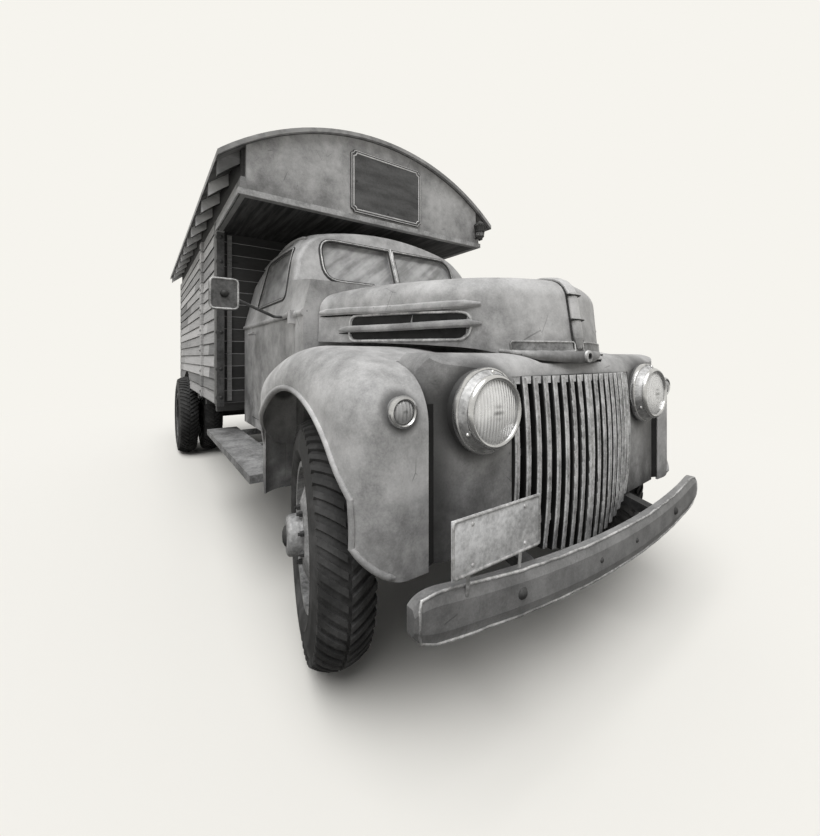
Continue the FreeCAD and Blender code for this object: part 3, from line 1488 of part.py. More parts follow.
def house_trim():
    half = sign_width / 2
    low, high = sign_z - sign_height / 2, sign_z + sign_height / 2
    n = sign_notch
    outline = [
        (-half + n, low), (half - n, low), (half - n, low + n), (half, low + n), (half, high - n), (half - n, high - n),
        (half - n, high), (-half + n, high), (-half + n, high - n), (-half, high - n), (-half, low + n), (-half + n, low + n),
    ]
    save("sign_board", end_prism(outline, over_front, over_front + sign_wall))
    foot = at(over_front + lantern_radius * lantern_out_share, lantern_y, 0)
    roof_z = lantern_z
    body = Part.makeCone(lantern_radius * lantern_foot_share, lantern_radius, lantern_height, Vector(foot.x, foot.y, roof_z), Z_AXIS)
    cap = Part.makeCone(lantern_radius * lantern_cap_share, sheet, lantern_height / 3, Vector(foot.x, foot.y, roof_z + lantern_height), Z_AXIS)
    arm = box(over_front + seat_gap, over_front + lantern_radius * lantern_out_share, lantern_y - sheet, lantern_y + sheet, roof_z, roof_z + sheet)
    save("corner_lantern", fused([body, cap, arm]))


lantern_foot_share = 0.7
lantern_out_share = 1.3
lantern_cap_share = 1.15
lantern_z = 2150.0


def main():
    os.makedirs("parts", exist_ok=True)
    front_wheels()
    rear_wheels()
    knuckles()
    front_axle()
    rear_axle()
    springs()
    drive_line()
    frame()
    cab()
    mirrors()
    cab_inside()
    hood()
    fenders()
    aprons()
    nose_panel()
    grille()
    lamps()
    bumper()
    running_boards()
    house()
    roof()
    house_trim()


main()
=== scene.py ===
"""Finishes, trim, light and camera for an old house truck.

Metres. Stations run forward from the front axle, and at() adds FRONT_AXLE to them.
"""

import bmesh
import bpy
from math import copysign, cos, pi, radians, sin, sqrt, tau
from mathutils import Matrix, Vector


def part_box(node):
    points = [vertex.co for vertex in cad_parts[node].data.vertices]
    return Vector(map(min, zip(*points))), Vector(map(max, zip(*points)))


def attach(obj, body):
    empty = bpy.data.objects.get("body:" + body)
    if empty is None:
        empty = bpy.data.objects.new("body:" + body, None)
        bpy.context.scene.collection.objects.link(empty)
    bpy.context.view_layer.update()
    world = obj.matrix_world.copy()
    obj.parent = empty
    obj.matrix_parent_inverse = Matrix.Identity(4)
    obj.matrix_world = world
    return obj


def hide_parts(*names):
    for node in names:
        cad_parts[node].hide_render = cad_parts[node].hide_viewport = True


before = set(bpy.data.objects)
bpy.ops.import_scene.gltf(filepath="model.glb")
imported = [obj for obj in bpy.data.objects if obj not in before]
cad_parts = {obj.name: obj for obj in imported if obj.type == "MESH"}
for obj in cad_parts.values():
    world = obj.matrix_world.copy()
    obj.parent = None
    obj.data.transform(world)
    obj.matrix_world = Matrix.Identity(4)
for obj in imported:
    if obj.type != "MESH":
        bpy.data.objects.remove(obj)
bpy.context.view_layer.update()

# Places that repeat the part's own sizes
FRONT_AXLE = 2.12
WHEELBASE = 4.01
TYRE_RADIUS = 0.459
KINGPIN_Y = 0.64
REST_STEER = radians(-13)
FRONT_WHEEL_Y = 0.8
REAR_OUTER_Y = 0.95
REAR_INNER_Y = 0.698

# Camera
CAMERA_PLACE = (FRONT_AXLE + 1.438, -1.406, 1.158)
CAMERA_YAW = radians(55)
LENS = 16.86
FILM = 36.0
SHIFT_Y = -0.0744

# Light and stage
PAPER = (0.922, 0.905, 0.855, 1.0)
AMBIENT = (0.29, 0.29, 0.293, 1.0)
SUN_STRENGTH = 2.8
SUN_SOFTNESS = radians(52)
SUN_FROM = (0.25, -0.31, 0.91)
BOUNCE_SHARE = 0.16  # of the floor's colour, as the object's underside sees it
FLOOR_HALF = 40.0
FLOOR_ALBEDO = 0.84
FADE_FROM, FADE_TO = 3.6, 8.0


def grey(level, warm=0.0):
    """A linear colour for a grey level as a picture shows it, from 0 to 255."""
    value = (level / 255) ** 2.2
    return (value * (1 + warm), value, value * (1 - warm), 1.0)


class Wire:
    """A number or colour inside a finish. Arithmetic on a number adds Math nodes."""

    def __init__(self, finish, socket):
        self.finish, self.socket = finish, socket

    def math(self, operation, *others, clamp=False):
        settings = {"operation": operation, "use_clamp": clamp}
        return self.finish.node("ShaderNodeMath", settings, [self, *others])

    def __add__(self, other):
        return self.math("ADD", other)

    def __sub__(self, other):
        return self.math("SUBTRACT", other)

    def __rsub__(self, other):
        return self.finish.node("ShaderNodeMath", {"operation": "SUBTRACT"}, [other, self])

    def __mul__(self, other):
        return self.math("MULTIPLY", other)

    def __truediv__(self, other):
        return self.math("DIVIDE", other)

    __radd__, __rmul__ = __add__, __mul__

    def most(self, other):
        return self.math("MAXIMUM", other)

    def size(self):
        return self.math("ABSOLUTE")

    def clamped(self):
        return self.math("ADD", 0.0, clamp=True)

    def rising(self, low, high):
        """0 up to low, 1 from high on, smooth between. With low above high it falls."""
        inputs = {"Value": self, "From Min": low, "From Max": high}
        return self.finish.node("ShaderNodeMapRange", {"interpolation_type": "SMOOTHSTEP"}, inputs)

    def stained(self, factor, level, warm=0.0):
        """This colour with a grey over it."""
        return self.finish.mix(factor, self, grey(level, warm))


class Finish:
    """A procedural material. Every node comes from node(), and surface() or coat() closes it."""

    def __init__(self, name, kind=bpy.data.materials):
        self.material = kind.new(name)
        self.material.use_nodes = True
        self.tree = self.material.node_tree
        self.tree.nodes.clear()
        self.place = self.node("ShaderNodeTexCoord", output="Object")

    def node(self, kind, settings=None, inputs=None, output=0):
        made = self.tree.nodes.new(kind)
        for key, value in (settings or {}).items():
            setattr(made, key, value)
        for key, value in inputs.items() if isinstance(inputs, dict) else enumerate(inputs or []):
            if isinstance(value, Wire):
                self.tree.links.new(value.socket, made.inputs[key])
            else:
                made.inputs[key].default_value = value
        return Wire(self, made.outputs[output]) if made.outputs else made

    def rays(self, *kinds):
        """1 for rays of these kinds."""
        first, *others = (self.node("ShaderNodeLightPath", output=f"Is {kind} Ray") for kind in kinds)
        for other in others:
            first = first.most(other)
        return first

    def axis(self, letter):
        return self.node("ShaderNodeSeparateXYZ", None, [self.place], letter)

    def lean(self, letter):
        """How far the surface faces along an axis, from -1 to 1."""
        facing_way = self.node("ShaderNodeTexCoord", output="Normal")
        return self.node("ShaderNodeSeparateXYZ", None, [facing_way], letter)

    def near(self, y, z, low, high):
        """1 round a lamp's axis on either side of the object, falling to 0 from the radius low to high."""
        across, up = self.axis("Y").size() - y, self.axis("Z") - z
        return 1 - (across * across + up * up).math("SQRT").rising(low, high)

    def moved(self, stretch=(1, 1, 1), turn=(0, 0, 0)):
        inputs = {"Vector": self.place, "Rotation": turn, "Scale": stretch}
        return self.node("ShaderNodeMapping", None, inputs)

    def noise(self, scale, detail=4.0, roughness=0.55, stretch=(1, 1, 1), distortion=0.0):
        inputs = {"Vector": self.moved(stretch), "Scale": scale, "Detail": detail, "Roughness": roughness}
        return self.node("ShaderNodeTexNoise", None, {**inputs, "Distortion": distortion}, "Fac")

    def cells(self, scale, stretch=(1, 1, 1), feature="F1"):
        inputs = {"Vector": self.moved(stretch), "Scale": scale}
        return self.node("ShaderNodeTexVoronoi", {"feature": feature}, inputs, "Distance")

    def random(self, number):
        return self.node("ShaderNodeTexWhiteNoise", {"noise_dimensions": "1D"}, {"W": number}, "Value")

    def mix(self, factor, first, second):
        return self.node("ShaderNodeMix", {"data_type": "RGBA"}, {0: factor, 6: first, 7: second}, 2)

    def shades(self, factor, level, low, high, warm=0.0, top=240):
        """From one share of a grey level to another, which stays below top."""
        return self.mix(factor, grey(level * low), grey(min(level * high, top), warm))

    def shader(self, **sockets):
        inputs = {key.replace("_", " "): value for key, value in sockets.items()}
        return self.node("ShaderNodeBsdfPrincipled", None, inputs, "BSDF")

    def surface(self, shader):
        self.node("ShaderNodeOutputMaterial", None, [shader])
        return self.material

    def coat(self, colour, rough, height, distance, strength=0.5, **others):
        """Closes the finish as one shader, bumped by the height."""
        inputs = {"Height": height, "Distance": distance, "Strength": strength}
        normal = self.node("ShaderNodeBump", None, inputs)
        return self.surface(self.shader(Base_Color=colour, Roughness=rough, Normal=normal, **others))


# Finishes. Levels are greys from 0 to 255, and noise scales are per metre.


def worn_paint(name, level, low_z=0.45, high_z=1.25, gloss=0.42, shaded=None, seam_y=None):
    """Old grey coachwork paint: cloudy and rubbed, with fine dark creases, and darker toward the ground with
    dirt and painted shade.
    shaded is a lamp's place, as (y, z, low, high), round which painted shade darkens the paint, and seam_y a
    stretch of |y| over which painted shade darkens it toward a seam, and along the panel's foot."""
    finish = Finish(name)
    mottle, grain = finish.noise(15, 5, 0.68), finish.noise(160, 3, 0.7)
    tone = (0.6 * finish.noise(3.1, 6, 0.62) + 0.26 * mottle + 0.14 * grain).rising(0.28, 0.7)
    # Dirt and painted shade: darker in patches below high_z, down to low_z.
    grime_and_shade = (1 - finish.axis("Z").rising(low_z, high_z)) * finish.noise(5.5, 5, 0.7).rising(0.28, 0.64)
    if shaded:
        # Painted shade round a lamp.
        grime_and_shade = grime_and_shade.most(finish.near(*shaded))
    crease = 1 - finish.cells(4.2, (1, 2.6, 0.9), "DISTANCE_TO_EDGE").rising(0.003, 0.01)
    crease = crease * finish.noise(6, 2).rising(0.6, 0.66)
    chips = finish.cells(34).rising(0.16, 0.09) * finish.noise(6, 3).rising(0.6, 0.68)
    colour = finish.shades(tone, level, 0.64, 1.26, 0.008).stained(grime_and_shade * 0.78, level * 0.36)
    colour = colour.stained(crease * 0.5, level * 0.42).stained(chips * 0.7, level * 0.38)
    if seam_y:
        # Painted shade toward a seam, below the crown, and along the panel's foot.
        seam_shade = finish.axis("Y").size().rising(*seam_y) * (1 - finish.axis("Z").rising(1.02, 1.14))
        foot = 1 - finish.axis("Z").rising(0.55, 0.68)
        colour = colour.stained(0.86 * seam_shade.most(foot * 0.7), level * 0.18)
    dents = finish.noise(2.4, 3, 0.5) + finish.noise(6.5, 3, 0.5) * 0.35
    height = dents + grain * 0.012 - chips * 0.05 - crease * 0.05
    return finish.coat(colour, gloss + 0.22 * mottle + 0.2 * grime_and_shade, height, 0.022, 0.32)


def grille_paint(name, level=214):
    """Worn plate on the grille: pale where it faces forward, and near black on the bars' flanks as painted
    shade between the bars.
    """
    finish = Finish(name)
    wear = (0.6 * finish.noise(16, 5, 0.66) + 0.4 * finish.noise(90, 3, 0.7)).rising(0.32, 0.7)
    foot = 1 - finish.axis("Z").rising(0.44, 0.66)
    face = finish.shades(wear, level, 0.66, 1.12).stained(foot * 0.45, level * 0.42)
    # Painted shade: faces turned away from the front go near black.
    colour = finish.mix(finish.lean("X").rising(0.58, 0.88), grey(24), face)
    return finish.coat(colour, 0.4 + 0.2 * wear, finish.noise(40, 3), 0.0008, 0.4)


def pitted(finish):
    """The tone, pits and relief of dull metal."""
    cloud, pits = finish.noise(8, 5, 0.65), finish.noise(70, 4, 0.7)
    return (0.6 * cloud + 0.4 * pits).rising(0.32, 0.7), pits, pits * 0.5 + cloud * 0.5


def iron_finish(name, dark=74, pale=172, split=2.075):
    """The house's irons: dark and oily on the corner posts, paler paint on the band over the cab."""
    finish = Finish(name)
    tone, pits, relief = pitted(finish)
    on_band = finish.axis("Z").rising(split - 0.004, split + 0.004)
    post, band = finish.shades(tone, dark, 0.66, 1.35), finish.shades(tone, pale, 0.72, 1.14)
    colour = finish.mix(on_band, post, band)
    return finish.coat(colour, 0.48 + 0.3 * pits, relief, 0.0012, Metallic=0.1)


def rafter_finish(name, dark=58, pale=232, wall_y=0.93, first_x=1.16):
    """Dark rafters whose tails, outside the walls, are pale on their front faces: painted light, for the
    bright backdrop seen between the rafters.
    """
    finish = Finish(name)
    grain = finish.noise(16, 6, 0.68, (5, 0.3, 0.6), 0.5)
    value = grain.rising(0.3, 0.7)
    # Painted light: pale front faces on the tails outside the walls, behind the first rafter.
    tail = finish.axis("Y").size().rising(wall_y, wall_y + 0.01) * finish.lean("X").rising(0.5, 0.8)
    tail = tail * (1 - finish.axis("X").rising(first_x - 0.01, first_x))
    painted_light = finish.shades(value, pale, 0.86, 1.04, top=245)
    return finish.coat(finish.mix(tail, finish.shades(value, dark, 0.7, 1.4), painted_light), 0.8, grain, 0.003)


def soffit_wood(name, level=112, under=34):
    """Floor boards: scrubbed on top, and near black with dark streaks where they face down, as painted shade
    under the floor.
    """
    finish = Finish(name)
    grain = finish.noise(16, 6, 0.68, (5, 0.25, 1), 0.5)
    value = (0.6 * grain + 0.4 * finish.noise(2.8, 5, 0.62)).rising(0.28, 0.72)
    streak = finish.noise(9, 5, 0.7, (0.25, 3.2, 1)).rising(0.35, 0.72)
    low, top = finish.shades(streak, under, 0.7, 2.4), finish.shades(value, level, 0.76, 1.24)
    # Painted shade: faces turned down take the near-black colour.
    return finish.coat(finish.mix(finish.lean("Z").rising(-0.6, -0.2), low, top), 0.82, grain, 0.003)


def lamp_lens(name, y, z, radius, level=246, heart=80, bowl=0.5):
    """Pressed lamp glass over its bowl: fluted and pale, the paleness a painted reflection of the sky in the
    bowl, darker at its rim and at the bulb behind it.
    """
    finish = Finish(name)
    flute, rungs = (finish.axis("Y") * 520).math("SINE"), (finish.axis("Z") * 300).math("SINE")
    haze = finish.noise(28, 4).rising(0.35, 0.7)
    bulb = finish.near(y, z, radius * 0.1, radius * 0.34) * (0.55 + 0.45 * rungs)
    rim = 1 - finish.near(y, z, radius * 0.8, radius * 1.02)
    shade = (0.1 * haze + 0.12 * (0.5 - 0.5 * flute) + 0.6 * bulb + 0.45 * rim).clamped()
    colour = finish.mix(shade, grey(level), grey(heart))
    return finish.coat(colour, 0.2 + 0.15 * haze, flute, 0.0016, 0.6, Metallic=bowl)


def plank_wood(name, level, low, spread=0.3, gap=0.006, joint_level=None, pitch=0.093, length=2.4):
    """Weathered boards laid level: each board has its own tone, grain along it, and a joint below."""
    finish = Finish(name)
    row = (finish.axis("Z") - low) / pitch
    board, share = row.math("FLOOR"), row.math("FRACT")
    run = (finish.axis("X") + finish.random(board) * 2.7) / length
    tone = finish.random(board + run.math("FLOOR") * 17.3)
    grain = finish.noise(14, 6, 0.66, (0.22, 1, 5.2), 0.4)
    fine = finish.noise(90, 4, 0.7, (0.1, 1, 2.4))
    stain = finish.noise(2.2, 4, 0.6, (0.6, 1, 1.6))
    value = (0.42 * tone + 0.34 * grain + 0.14 * fine + 0.26 * stain).rising(0.24, 0.92)
    edge = gap / pitch
    joint = (1 - share.rising(0.0, edge)).most(share.rising(1 - edge * 0.8, 1.0))
    dark = joint.most((run.math("FRACT") - 0.5).size().rising(0.4985, 0.4992))
    split = finish.noise(5, 4, 0.6, (0.12, 1, 7)).rising(0.66, 0.7)
    colour = finish.shades(value, level, 1 - spread, 1 + spread, 0.012)
    colour = colour.stained(dark * 0.86, joint_level or level * 0.2).stained(split * 0.45, level * 0.42)
    height = 0.5 * grain + 0.22 * fine - dark * 1.6 - split * 0.5
    return finish.coat(colour, 0.72 + 0.2 * fine, height, 0.004, 0.55)


def plain_wood(name, level, stretch=(0.25, 1, 5)):
    """Sawn timber with its grain along one axis, rubbed pale in places and stained in others."""
    finish = Finish(name)
    grain, fine = finish.noise(16, 6, 0.68, stretch, 0.5), finish.noise(95, 4, 0.7, stretch)
    value = (0.46 * grain + 0.18 * fine + 0.36 * finish.noise(2.8, 5, 0.62)).rising(0.26, 0.74)
    knots = finish.cells(5.5, stretch).rising(0.1, 0.04)
    colour = finish.shades(value, level, 0.76, 1.24, 0.012).stained(knots * 0.5, level * 0.45)
    return finish.coat(colour, 0.74 + 0.18 * fine, grain * 0.6 + fine * 0.3, 0.003)


def tin_roof(name, sheet=0.66):
    """Rolled roofing: pale, streaked down the slope, with a lap every sheet and dirt along it."""
    finish = Finish(name)
    streak, cloud = finish.noise(7, 5, 0.6, (3.2, 0.35, 0.35)), finish.noise(1.7, 5, 0.6)
    off_middle = (((finish.axis("X") + 10) / sheet).math("FRACT") - 0.5).size()
    lap = off_middle.rising(0.486, 0.494)
    near_lap = off_middle.rising(0.4, 0.49) * finish.noise(18, 4).rising(0.42, 0.62)
    colour = finish.mix((0.5 * streak + 0.5 * cloud).rising(0.3, 0.7), grey(118), grey(178, 0.01))
    colour = colour.stained(near_lap * 0.5, 86).stained(lap * 0.75, 62)
    height = lap + cloud * 0.8 + streak * 0.15
    return finish.coat(colour, 0.5 + 0.25 * cloud, height, 0.004, 0.6, Metallic=0.25)


def old_rubber(name, level=52):
    """Tyre rubber: near black, dusty in patches and more so near the ground."""
    finish = Finish(name)
    dust, speck = finish.noise(9, 5, 0.66).rising(0.38, 0.72), finish.noise(85, 3, 0.7)
    near_ground = 1 - finish.axis("Z").rising(0.02, 0.3)
    colour = finish.shades(0.65 * dust + 0.2 * speck, level, 0.72, 1.75, 0.012)
    colour = colour.stained(near_ground * dust * 0.5, level * 2.2, 0.02)
    return finish.coat(colour, 0.78 + 0.16 * dust, speck * 0.5 + finish.noise(34, 3) * 0.5, 0.0016)


def scuffed_steel(name, level, metal=0.35, rust=0.5):
    """Painted or bare steel gone dull: dark, pitted, with paler rubbed places."""
    finish = Finish(name)
    tone, pits, relief = pitted(finish)
    spots = finish.noise(23, 4, 0.7).rising(0.57, 0.66) * rust
    colour = finish.shades(tone, level, 0.68, 1.35, top=235).stained(spots * 0.6, level * 0.4, 0.06)
    return finish.coat(colour, 0.42 + 0.3 * pits + 0.15 * spots, relief, 0.0012, Metallic=metal)


def bright_metal(name, level=205):
    """Plated brightwork with fogged and spotted plating."""
    finish = Finish(name)
    fog = finish.noise(11, 5, 0.66).rising(0.4, 0.7)
    spot = finish.cells(60).rising(0.2, 0.1) * finish.noise(8, 3).rising(0.5, 0.62)
    colour = finish.shades(0.6 * fog, level, 1.0, 0.62).stained(spot * 0.7, level * 0.34)
    rough = 0.16 + 0.3 * fog + 0.3 * spot
    return finish.coat(colour, rough, finish.noise(30, 3), 0.0008, 0.35, Metallic=0.9)


def dusty_glass(name, level=168, film=0.72):
    """Window glass under a film of dust, wiped in slanting streaks."""
    finish = Finish(name)
    slant = finish.moved(turn=(radians(-38), 0, 0))
    slant = finish.node("ShaderNodeMapping", None, {"Vector": slant, "Scale": (1, 0.5, 3.4)})
    streak = finish.node("ShaderNodeTexNoise", None, {"Vector": slant, "Scale": 6.0, "Detail": 5.0}, "Fac")
    smudge = finish.noise(7, 5, 0.6)
    tone = (0.6 * streak + 0.4 * smudge).rising(0.34, 0.66)
    amount = (film + 0.3 * (streak - 0.5) + 0.2 * (smudge - 0.5)).clamped()
    clear = finish.shader(Base_Color=grey(225), Roughness=0.04, Transmission_Weight=1.0, IOR=1.45)
    dust = finish.shader(Base_Color=finish.shades(tone, level, 0.84, 1.22), Roughness=0.35, Coat_Weight=0.6,
                         Coat_Roughness=0.08)
    return finish.surface(finish.node("ShaderNodeMixShader", None, {0: amount, 1: clear, 2: dust}))


def seat_cloth(name, level=74, threads=1400):
    """Coarse woven cover, worn pale in patches."""
    finish = Finish(name)
    weft = ((finish.axis("X") + finish.axis("Z")) * threads).math("SINE")
    weave = (finish.axis("Y") * threads).math("SINE") * weft
    wear = finish.noise(5, 4).rising(0.4, 0.7)
    colour = finish.shades(0.5 * wear + 0.2 * (0.5 + 0.5 * weave), level, 0.7, 1.5, 0.02)
    return finish.coat(colour, 0.88, weave, 0.0008, 0.6, Sheen_Weight=0.3)


def soft_black(name, level=34, gloss=0.55):
    """Rubber seals and dark fittings, greyed by dust."""
    finish = Finish(name)
    dust = finish.noise(24, 4, 0.66).rising(0.4, 0.75)
    colour = finish.shades(dust * 0.6, level, 1.0, 2.0, 0.01)
    return finish.coat(colour, gloss + 0.25 * dust, finish.noise(120, 3), 0.0006, 0.4)


def sign_face(name):
    """A bare dark panel, wiped unevenly."""
    finish = Finish(name)
    wipe, speck = finish.noise(6, 5, 0.6, (1, 0.6, 2.2)), finish.noise(90, 3, 0.7)
    colour = finish.mix((0.7 * wipe + 0.3 * speck).rising(0.3, 0.72), grey(52), grey(98))
    return finish.coat(colour, 0.6 + 0.2 * speck, wipe, 0.001)


LAMP_Y, LAMP_Z, LAMP_GLASS = 0.528, 0.992, 0.097
MARKER_Y, MARKER_Z = 0.818, 1.006
FENDER_PAINT = worn_paint("fender_paint", 172, 0.4, 0.95, shaded=(MARKER_Y, MARKER_Z, 0.045, 0.075))
HOOD_PAINT = worn_paint("hood_paint", 168, 1.1, 1.42)
NOSE_STRIP_PAINT = worn_paint("nose_strip_paint", 182, 1.12, 1.4, 0.3)
CAB_PAINT = worn_paint("cab_paint", 156, 0.6, 1.4)
NOSE_PAINT = worn_paint("nose_paint", 158, 0.5, 1.0, shaded=(LAMP_Y, LAMP_Z, 0.13, 0.19), seam_y=(0.55, 0.7))
OVER_CAB_PAINT = worn_paint("over_cab_paint", 158, 1.9, 2.3, 0.55)
BUMPER_PAINT = worn_paint("bumper_paint", 128, 0.3, 0.36, 0.38)
GRILLE_PAINT = grille_paint("grille_paint")
SIDE_PLANKS = plank_wood("side_planks", 168, 0.8)
# The front wall's boards: darkened to level 58 against the sides' 168 as painted shade, with joints at 168.
SHADED_FRONT_PLANKS = plank_wood("shaded_front_planks", 58, 0.812, 0.3, 0.005, 168)
REAR_PLANKS = plank_wood("rear_planks", 132, 0.8, 0.28)
FLOOR_WOOD = plain_wood("floor_wood", 118)
FLOOR_BOARDS = soffit_wood("floor_boards")
RAFTER_WOOD = rafter_finish("rafter_wood")
PALE_WOOD = plain_wood("pale_wood", 205)
FRIEZE_WOOD = plain_wood("frieze_wood", 70)
JOIST_WOOD = plain_wood("joist_wood", 88, (1.4, 0.3, 3))
TIN = tin_roof("roof_tin")
RUBBER = old_rubber("tyre_rubber")
WHEEL_STEEL = scuffed_steel("wheel_steel", 150, 0.25, 0.4)
REAR_WHEEL_STEEL = scuffed_steel("rear_wheel_steel", 70, 0.2)
LIP_STEEL = scuffed_steel("rim_lip_steel", 168, 0.55, 0.3)
FRAME_STEEL = scuffed_steel("frame_steel", 62)
BOARD_STEEL = scuffed_steel("board_steel", 128, 0.1, 0.3)
POST_STEEL = scuffed_steel("post_steel", 150, 0.45)
IRON = iron_finish("house_iron")
BRIGHT = bright_metal("bright_metal")
BEZEL = scuffed_steel("bezel_plate", 168, 0.35, 0.35)
POD = scuffed_steel("lamp_pod", 118, 0.2, 0.3)
MIRROR_BACK = scuffed_steel("mirror_back", 86, 0.2, 0.3)
GLASS = dusty_glass("window_glass")
LENS_GLASS = lamp_lens("lamp_lens", LAMP_Y, LAMP_Z, LAMP_GLASS)
MARKER_GLASS = lamp_lens("marker_lens", MARKER_Y, MARKER_Z, 0.034, 178, 44, 0.2)
CLOTH = seat_cloth("seat_cloth")
BLACK = soft_black("dark_fitting")
SEAL = soft_black("rubber_seal", 40, 0.7)
SIGN = sign_face("sign_face")
VOID = soft_black("deep_shadow", 16, 0.85)
PLATE = scuffed_steel("plate_face", 212, 0.0, 0.2)
RUSTY = scuffed_steel("rusty_steel", 58, 0.2, 0.9)
TAIL_GLASS = soft_black("tail_lens", 44, 0.12)

NODE_FINISHES = (
    (RUBBER, "tyre_front_right tyre_front_left tyres_rear_right tyres_rear_left"),
    (WHEEL_STEEL, "rim_front_right rim_front_left"),
    (REAR_WHEEL_STEEL, "rims_rear_right rims_rear_left"),
    (FRAME_STEEL, "frame front_axle rear_axle front_springs rear_springs drive_shaft engine_block"),
    (FRAME_STEEL, "bumper_brackets knuckle_right knuckle_left"),
    (BOARD_STEEL, "running_boards"),
    (FENDER_PAINT, "fender_left fender_right aprons"),
    (HOOD_PAINT, "hood"),
    (CAB_PAINT, "cab_shell door_left door_right dashboard"),
    (NOSE_PAINT, "nose_panel"),
    (GRILLE_PAINT, "grille"),
    (BUMPER_PAINT, "front_bumper"),
    (BEZEL, "headlamp_bezels"),
    (POD, "fender_lamps"),
    (LENS_GLASS, "headlamp_lenses"),
    (GLASS, "cab_glass door_glass_left door_glass_right"),
    (CLOTH, "bench_seat"),
    (BLACK, "steering_wheel steering_column radiator corner_lantern"),
    (SIDE_PLANKS, "house_side_left house_side_right"),
    (SHADED_FRONT_PLANKS, "house_front_wall"),
    (REAR_PLANKS, "house_rear_wall rear_door"),
    (OVER_CAB_PAINT, "over_cab_front"),
    (FLOOR_BOARDS, "house_floors"),
    (JOIST_WOOD, "floor_joists"),
    (RAFTER_WOOD, "roof_rafters"),
    (FRIEZE_WOOD, "frieze_boards"),
    (TIN, "roof_skin"),
    (IRON, "house_irons"),
    (SIGN, "sign_board"),
    (MIRROR_BACK, "mirror_left mirror_right"),
)


def dress(material, names):
    """Gives CAD nodes their finish."""
    for name in names.split():
        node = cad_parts[name]
        if not node.material_slots:
            node.data.materials.append(material)
        for slot in node.material_slots:
            slot.material = material


for finish_and_names in NODE_FINISHES:
    dress(*finish_and_names)


# Making pieces
AHEAD, BACK, UP, DOWN = (1, 0, 0), (-1, 0, 0), (0, 0, 1), (0, 0, -1)
SIDES = (("right", -1), ("left", 1))
OUTSIDE_Y, OUTSIDE_X, OUTSIDE_Z = 1.3, 0.9, 3.2  # where lines toward the truck start


def at(x, y, z):
    """A point at station x from the front axle."""
    return Vector((FRONT_AXLE + x, y, z))


def block(bm, low, high):
    """Adds a box between two corners."""
    low, high = Vector(low), Vector(high)
    matrix = Matrix.Translation((low + high) / 2) @ Matrix.Diagonal((*(high - low), 1.0))
    bmesh.ops.create_cube(bm, size=1.0, matrix=matrix)


def facing(start, direction):
    """A matrix that carries +Z to direction and the origin to start."""
    turn = Vector(direction).to_track_quat("Z", "Y").to_matrix().to_4x4()
    return Matrix.Translation(start) @ turn


def rod(bm, start, end, radius, end_radius=None, sides=16):
    """Adds a round bar, or a taper, from start to end."""
    run = end - start
    wide = radius if end_radius is None else end_radius
    return bmesh.ops.create_cone(
        bm, cap_ends=True, segments=sides, radius1=radius, radius2=wide, depth=run.length,
        matrix=facing((start + end) / 2, run),
    )["verts"]


def ball(bm, centre, radius, squeeze=(1, 1, 1)):
    matrix = Matrix.Translation(centre) @ Matrix.Diagonal((*squeeze, 1.0))
    bmesh.ops.create_uvsphere(bm, u_segments=16, v_segments=10, radius=radius, matrix=matrix)


def turned(bm, outline, matrix, steps=48, closed=False):
    """Spins an outline of (radius, height) points about the local Z axis."""
    points = [bm.verts.new((r, 0, h)) for r, h in outline]
    edges = [bm.edges.new(pair) for pair in zip(points, points[1:])]
    if closed:
        edges.append(bm.edges.new((points[-1], points[0])))
    before = set(bm.verts) - set(points)
    bmesh.ops.spin(bm, geom=points + edges, axis=UP, cent=(0, 0, 0), angle=tau, steps=steps, use_merge=True)
    bmesh.ops.remove_doubles(bm, verts=[v for v in bm.verts if v not in before], dist=SAME_POINT)
    bmesh.ops.transform(bm, matrix=matrix, verts=[v for v in bm.verts if v not in before])


def sweep(bm, outlines, loop=False):
    """Extrudes the first closed outline through the others, and back to itself where it is a loop."""
    first = face = bm.faces.new([bm.verts.new(p) for p in outlines[0]])
    for outline in outlines[1:] + (outlines[:1] if loop else []):
        grown = bmesh.ops.extrude_face_region(bm, geom=[face])["geom"]
        face = next(item for item in grown if isinstance(item, bmesh.types.BMFace))
        for vert, point in zip(face.verts, outline):
            vert.co = point
    if loop:
        bmesh.ops.delete(bm, geom=[first, face], context="FACES_ONLY")


STRIP_SECTION = ((-0.5, 0.45), (-0.28, 0.9), (0, 1.0), (0.28, 0.9), (0.5, 0.45))
STRIP_SINK, BAND_SINK = 0.001, 0.002
# Mouldings, as width and height
RIB_SHADOW_LINE, VENT_RIM, NAME_BEAD, LIP_ROLL = (0.009, 0.003), (0.011, 0.007), (0.007, 0.007), (0.046, 0.022)
SCREEN_SEAL, SCREEN_BEAD, SCREEN_POST = (0.026, 0.008), (0.008, 0.005), (0.014, 0.008)
WINDOW_SEAL, WINDOW_BEAD, BELT, RAIL = (0.024, 0.007), (0.008, 0.004), (0.028, 0.011), (0.016, 0.014)
BAR_EDGE, BUMPER_BEAD = (0.008, 0.0035), (0.008, 0.004)
PLATE_BEAD, PLATE_STRAP = (0.008, 0.003), (0.012, 0.004)
SIGN_LINE, SIGN_RIM = (0.008, 0.003), (0.005, 0.002)
ROOF_LAP, ROOF_END, ROOF_EAVE = (0.034, 0.003), (0.026, 0.0045), (0.024, 0.0045)
LATCH_PLATE, HINGE_PLATE, TANK_STRAP = (0.034, 0.005), (0.03, 0.005), (0.034, 0.004)
LID_BEAD, MIRROR_BEAD, FENDER_ROLL = (0.008, 0.004), (0.008, 0.004), (0.019, 0.009)
SAME_POINT = 1e-6


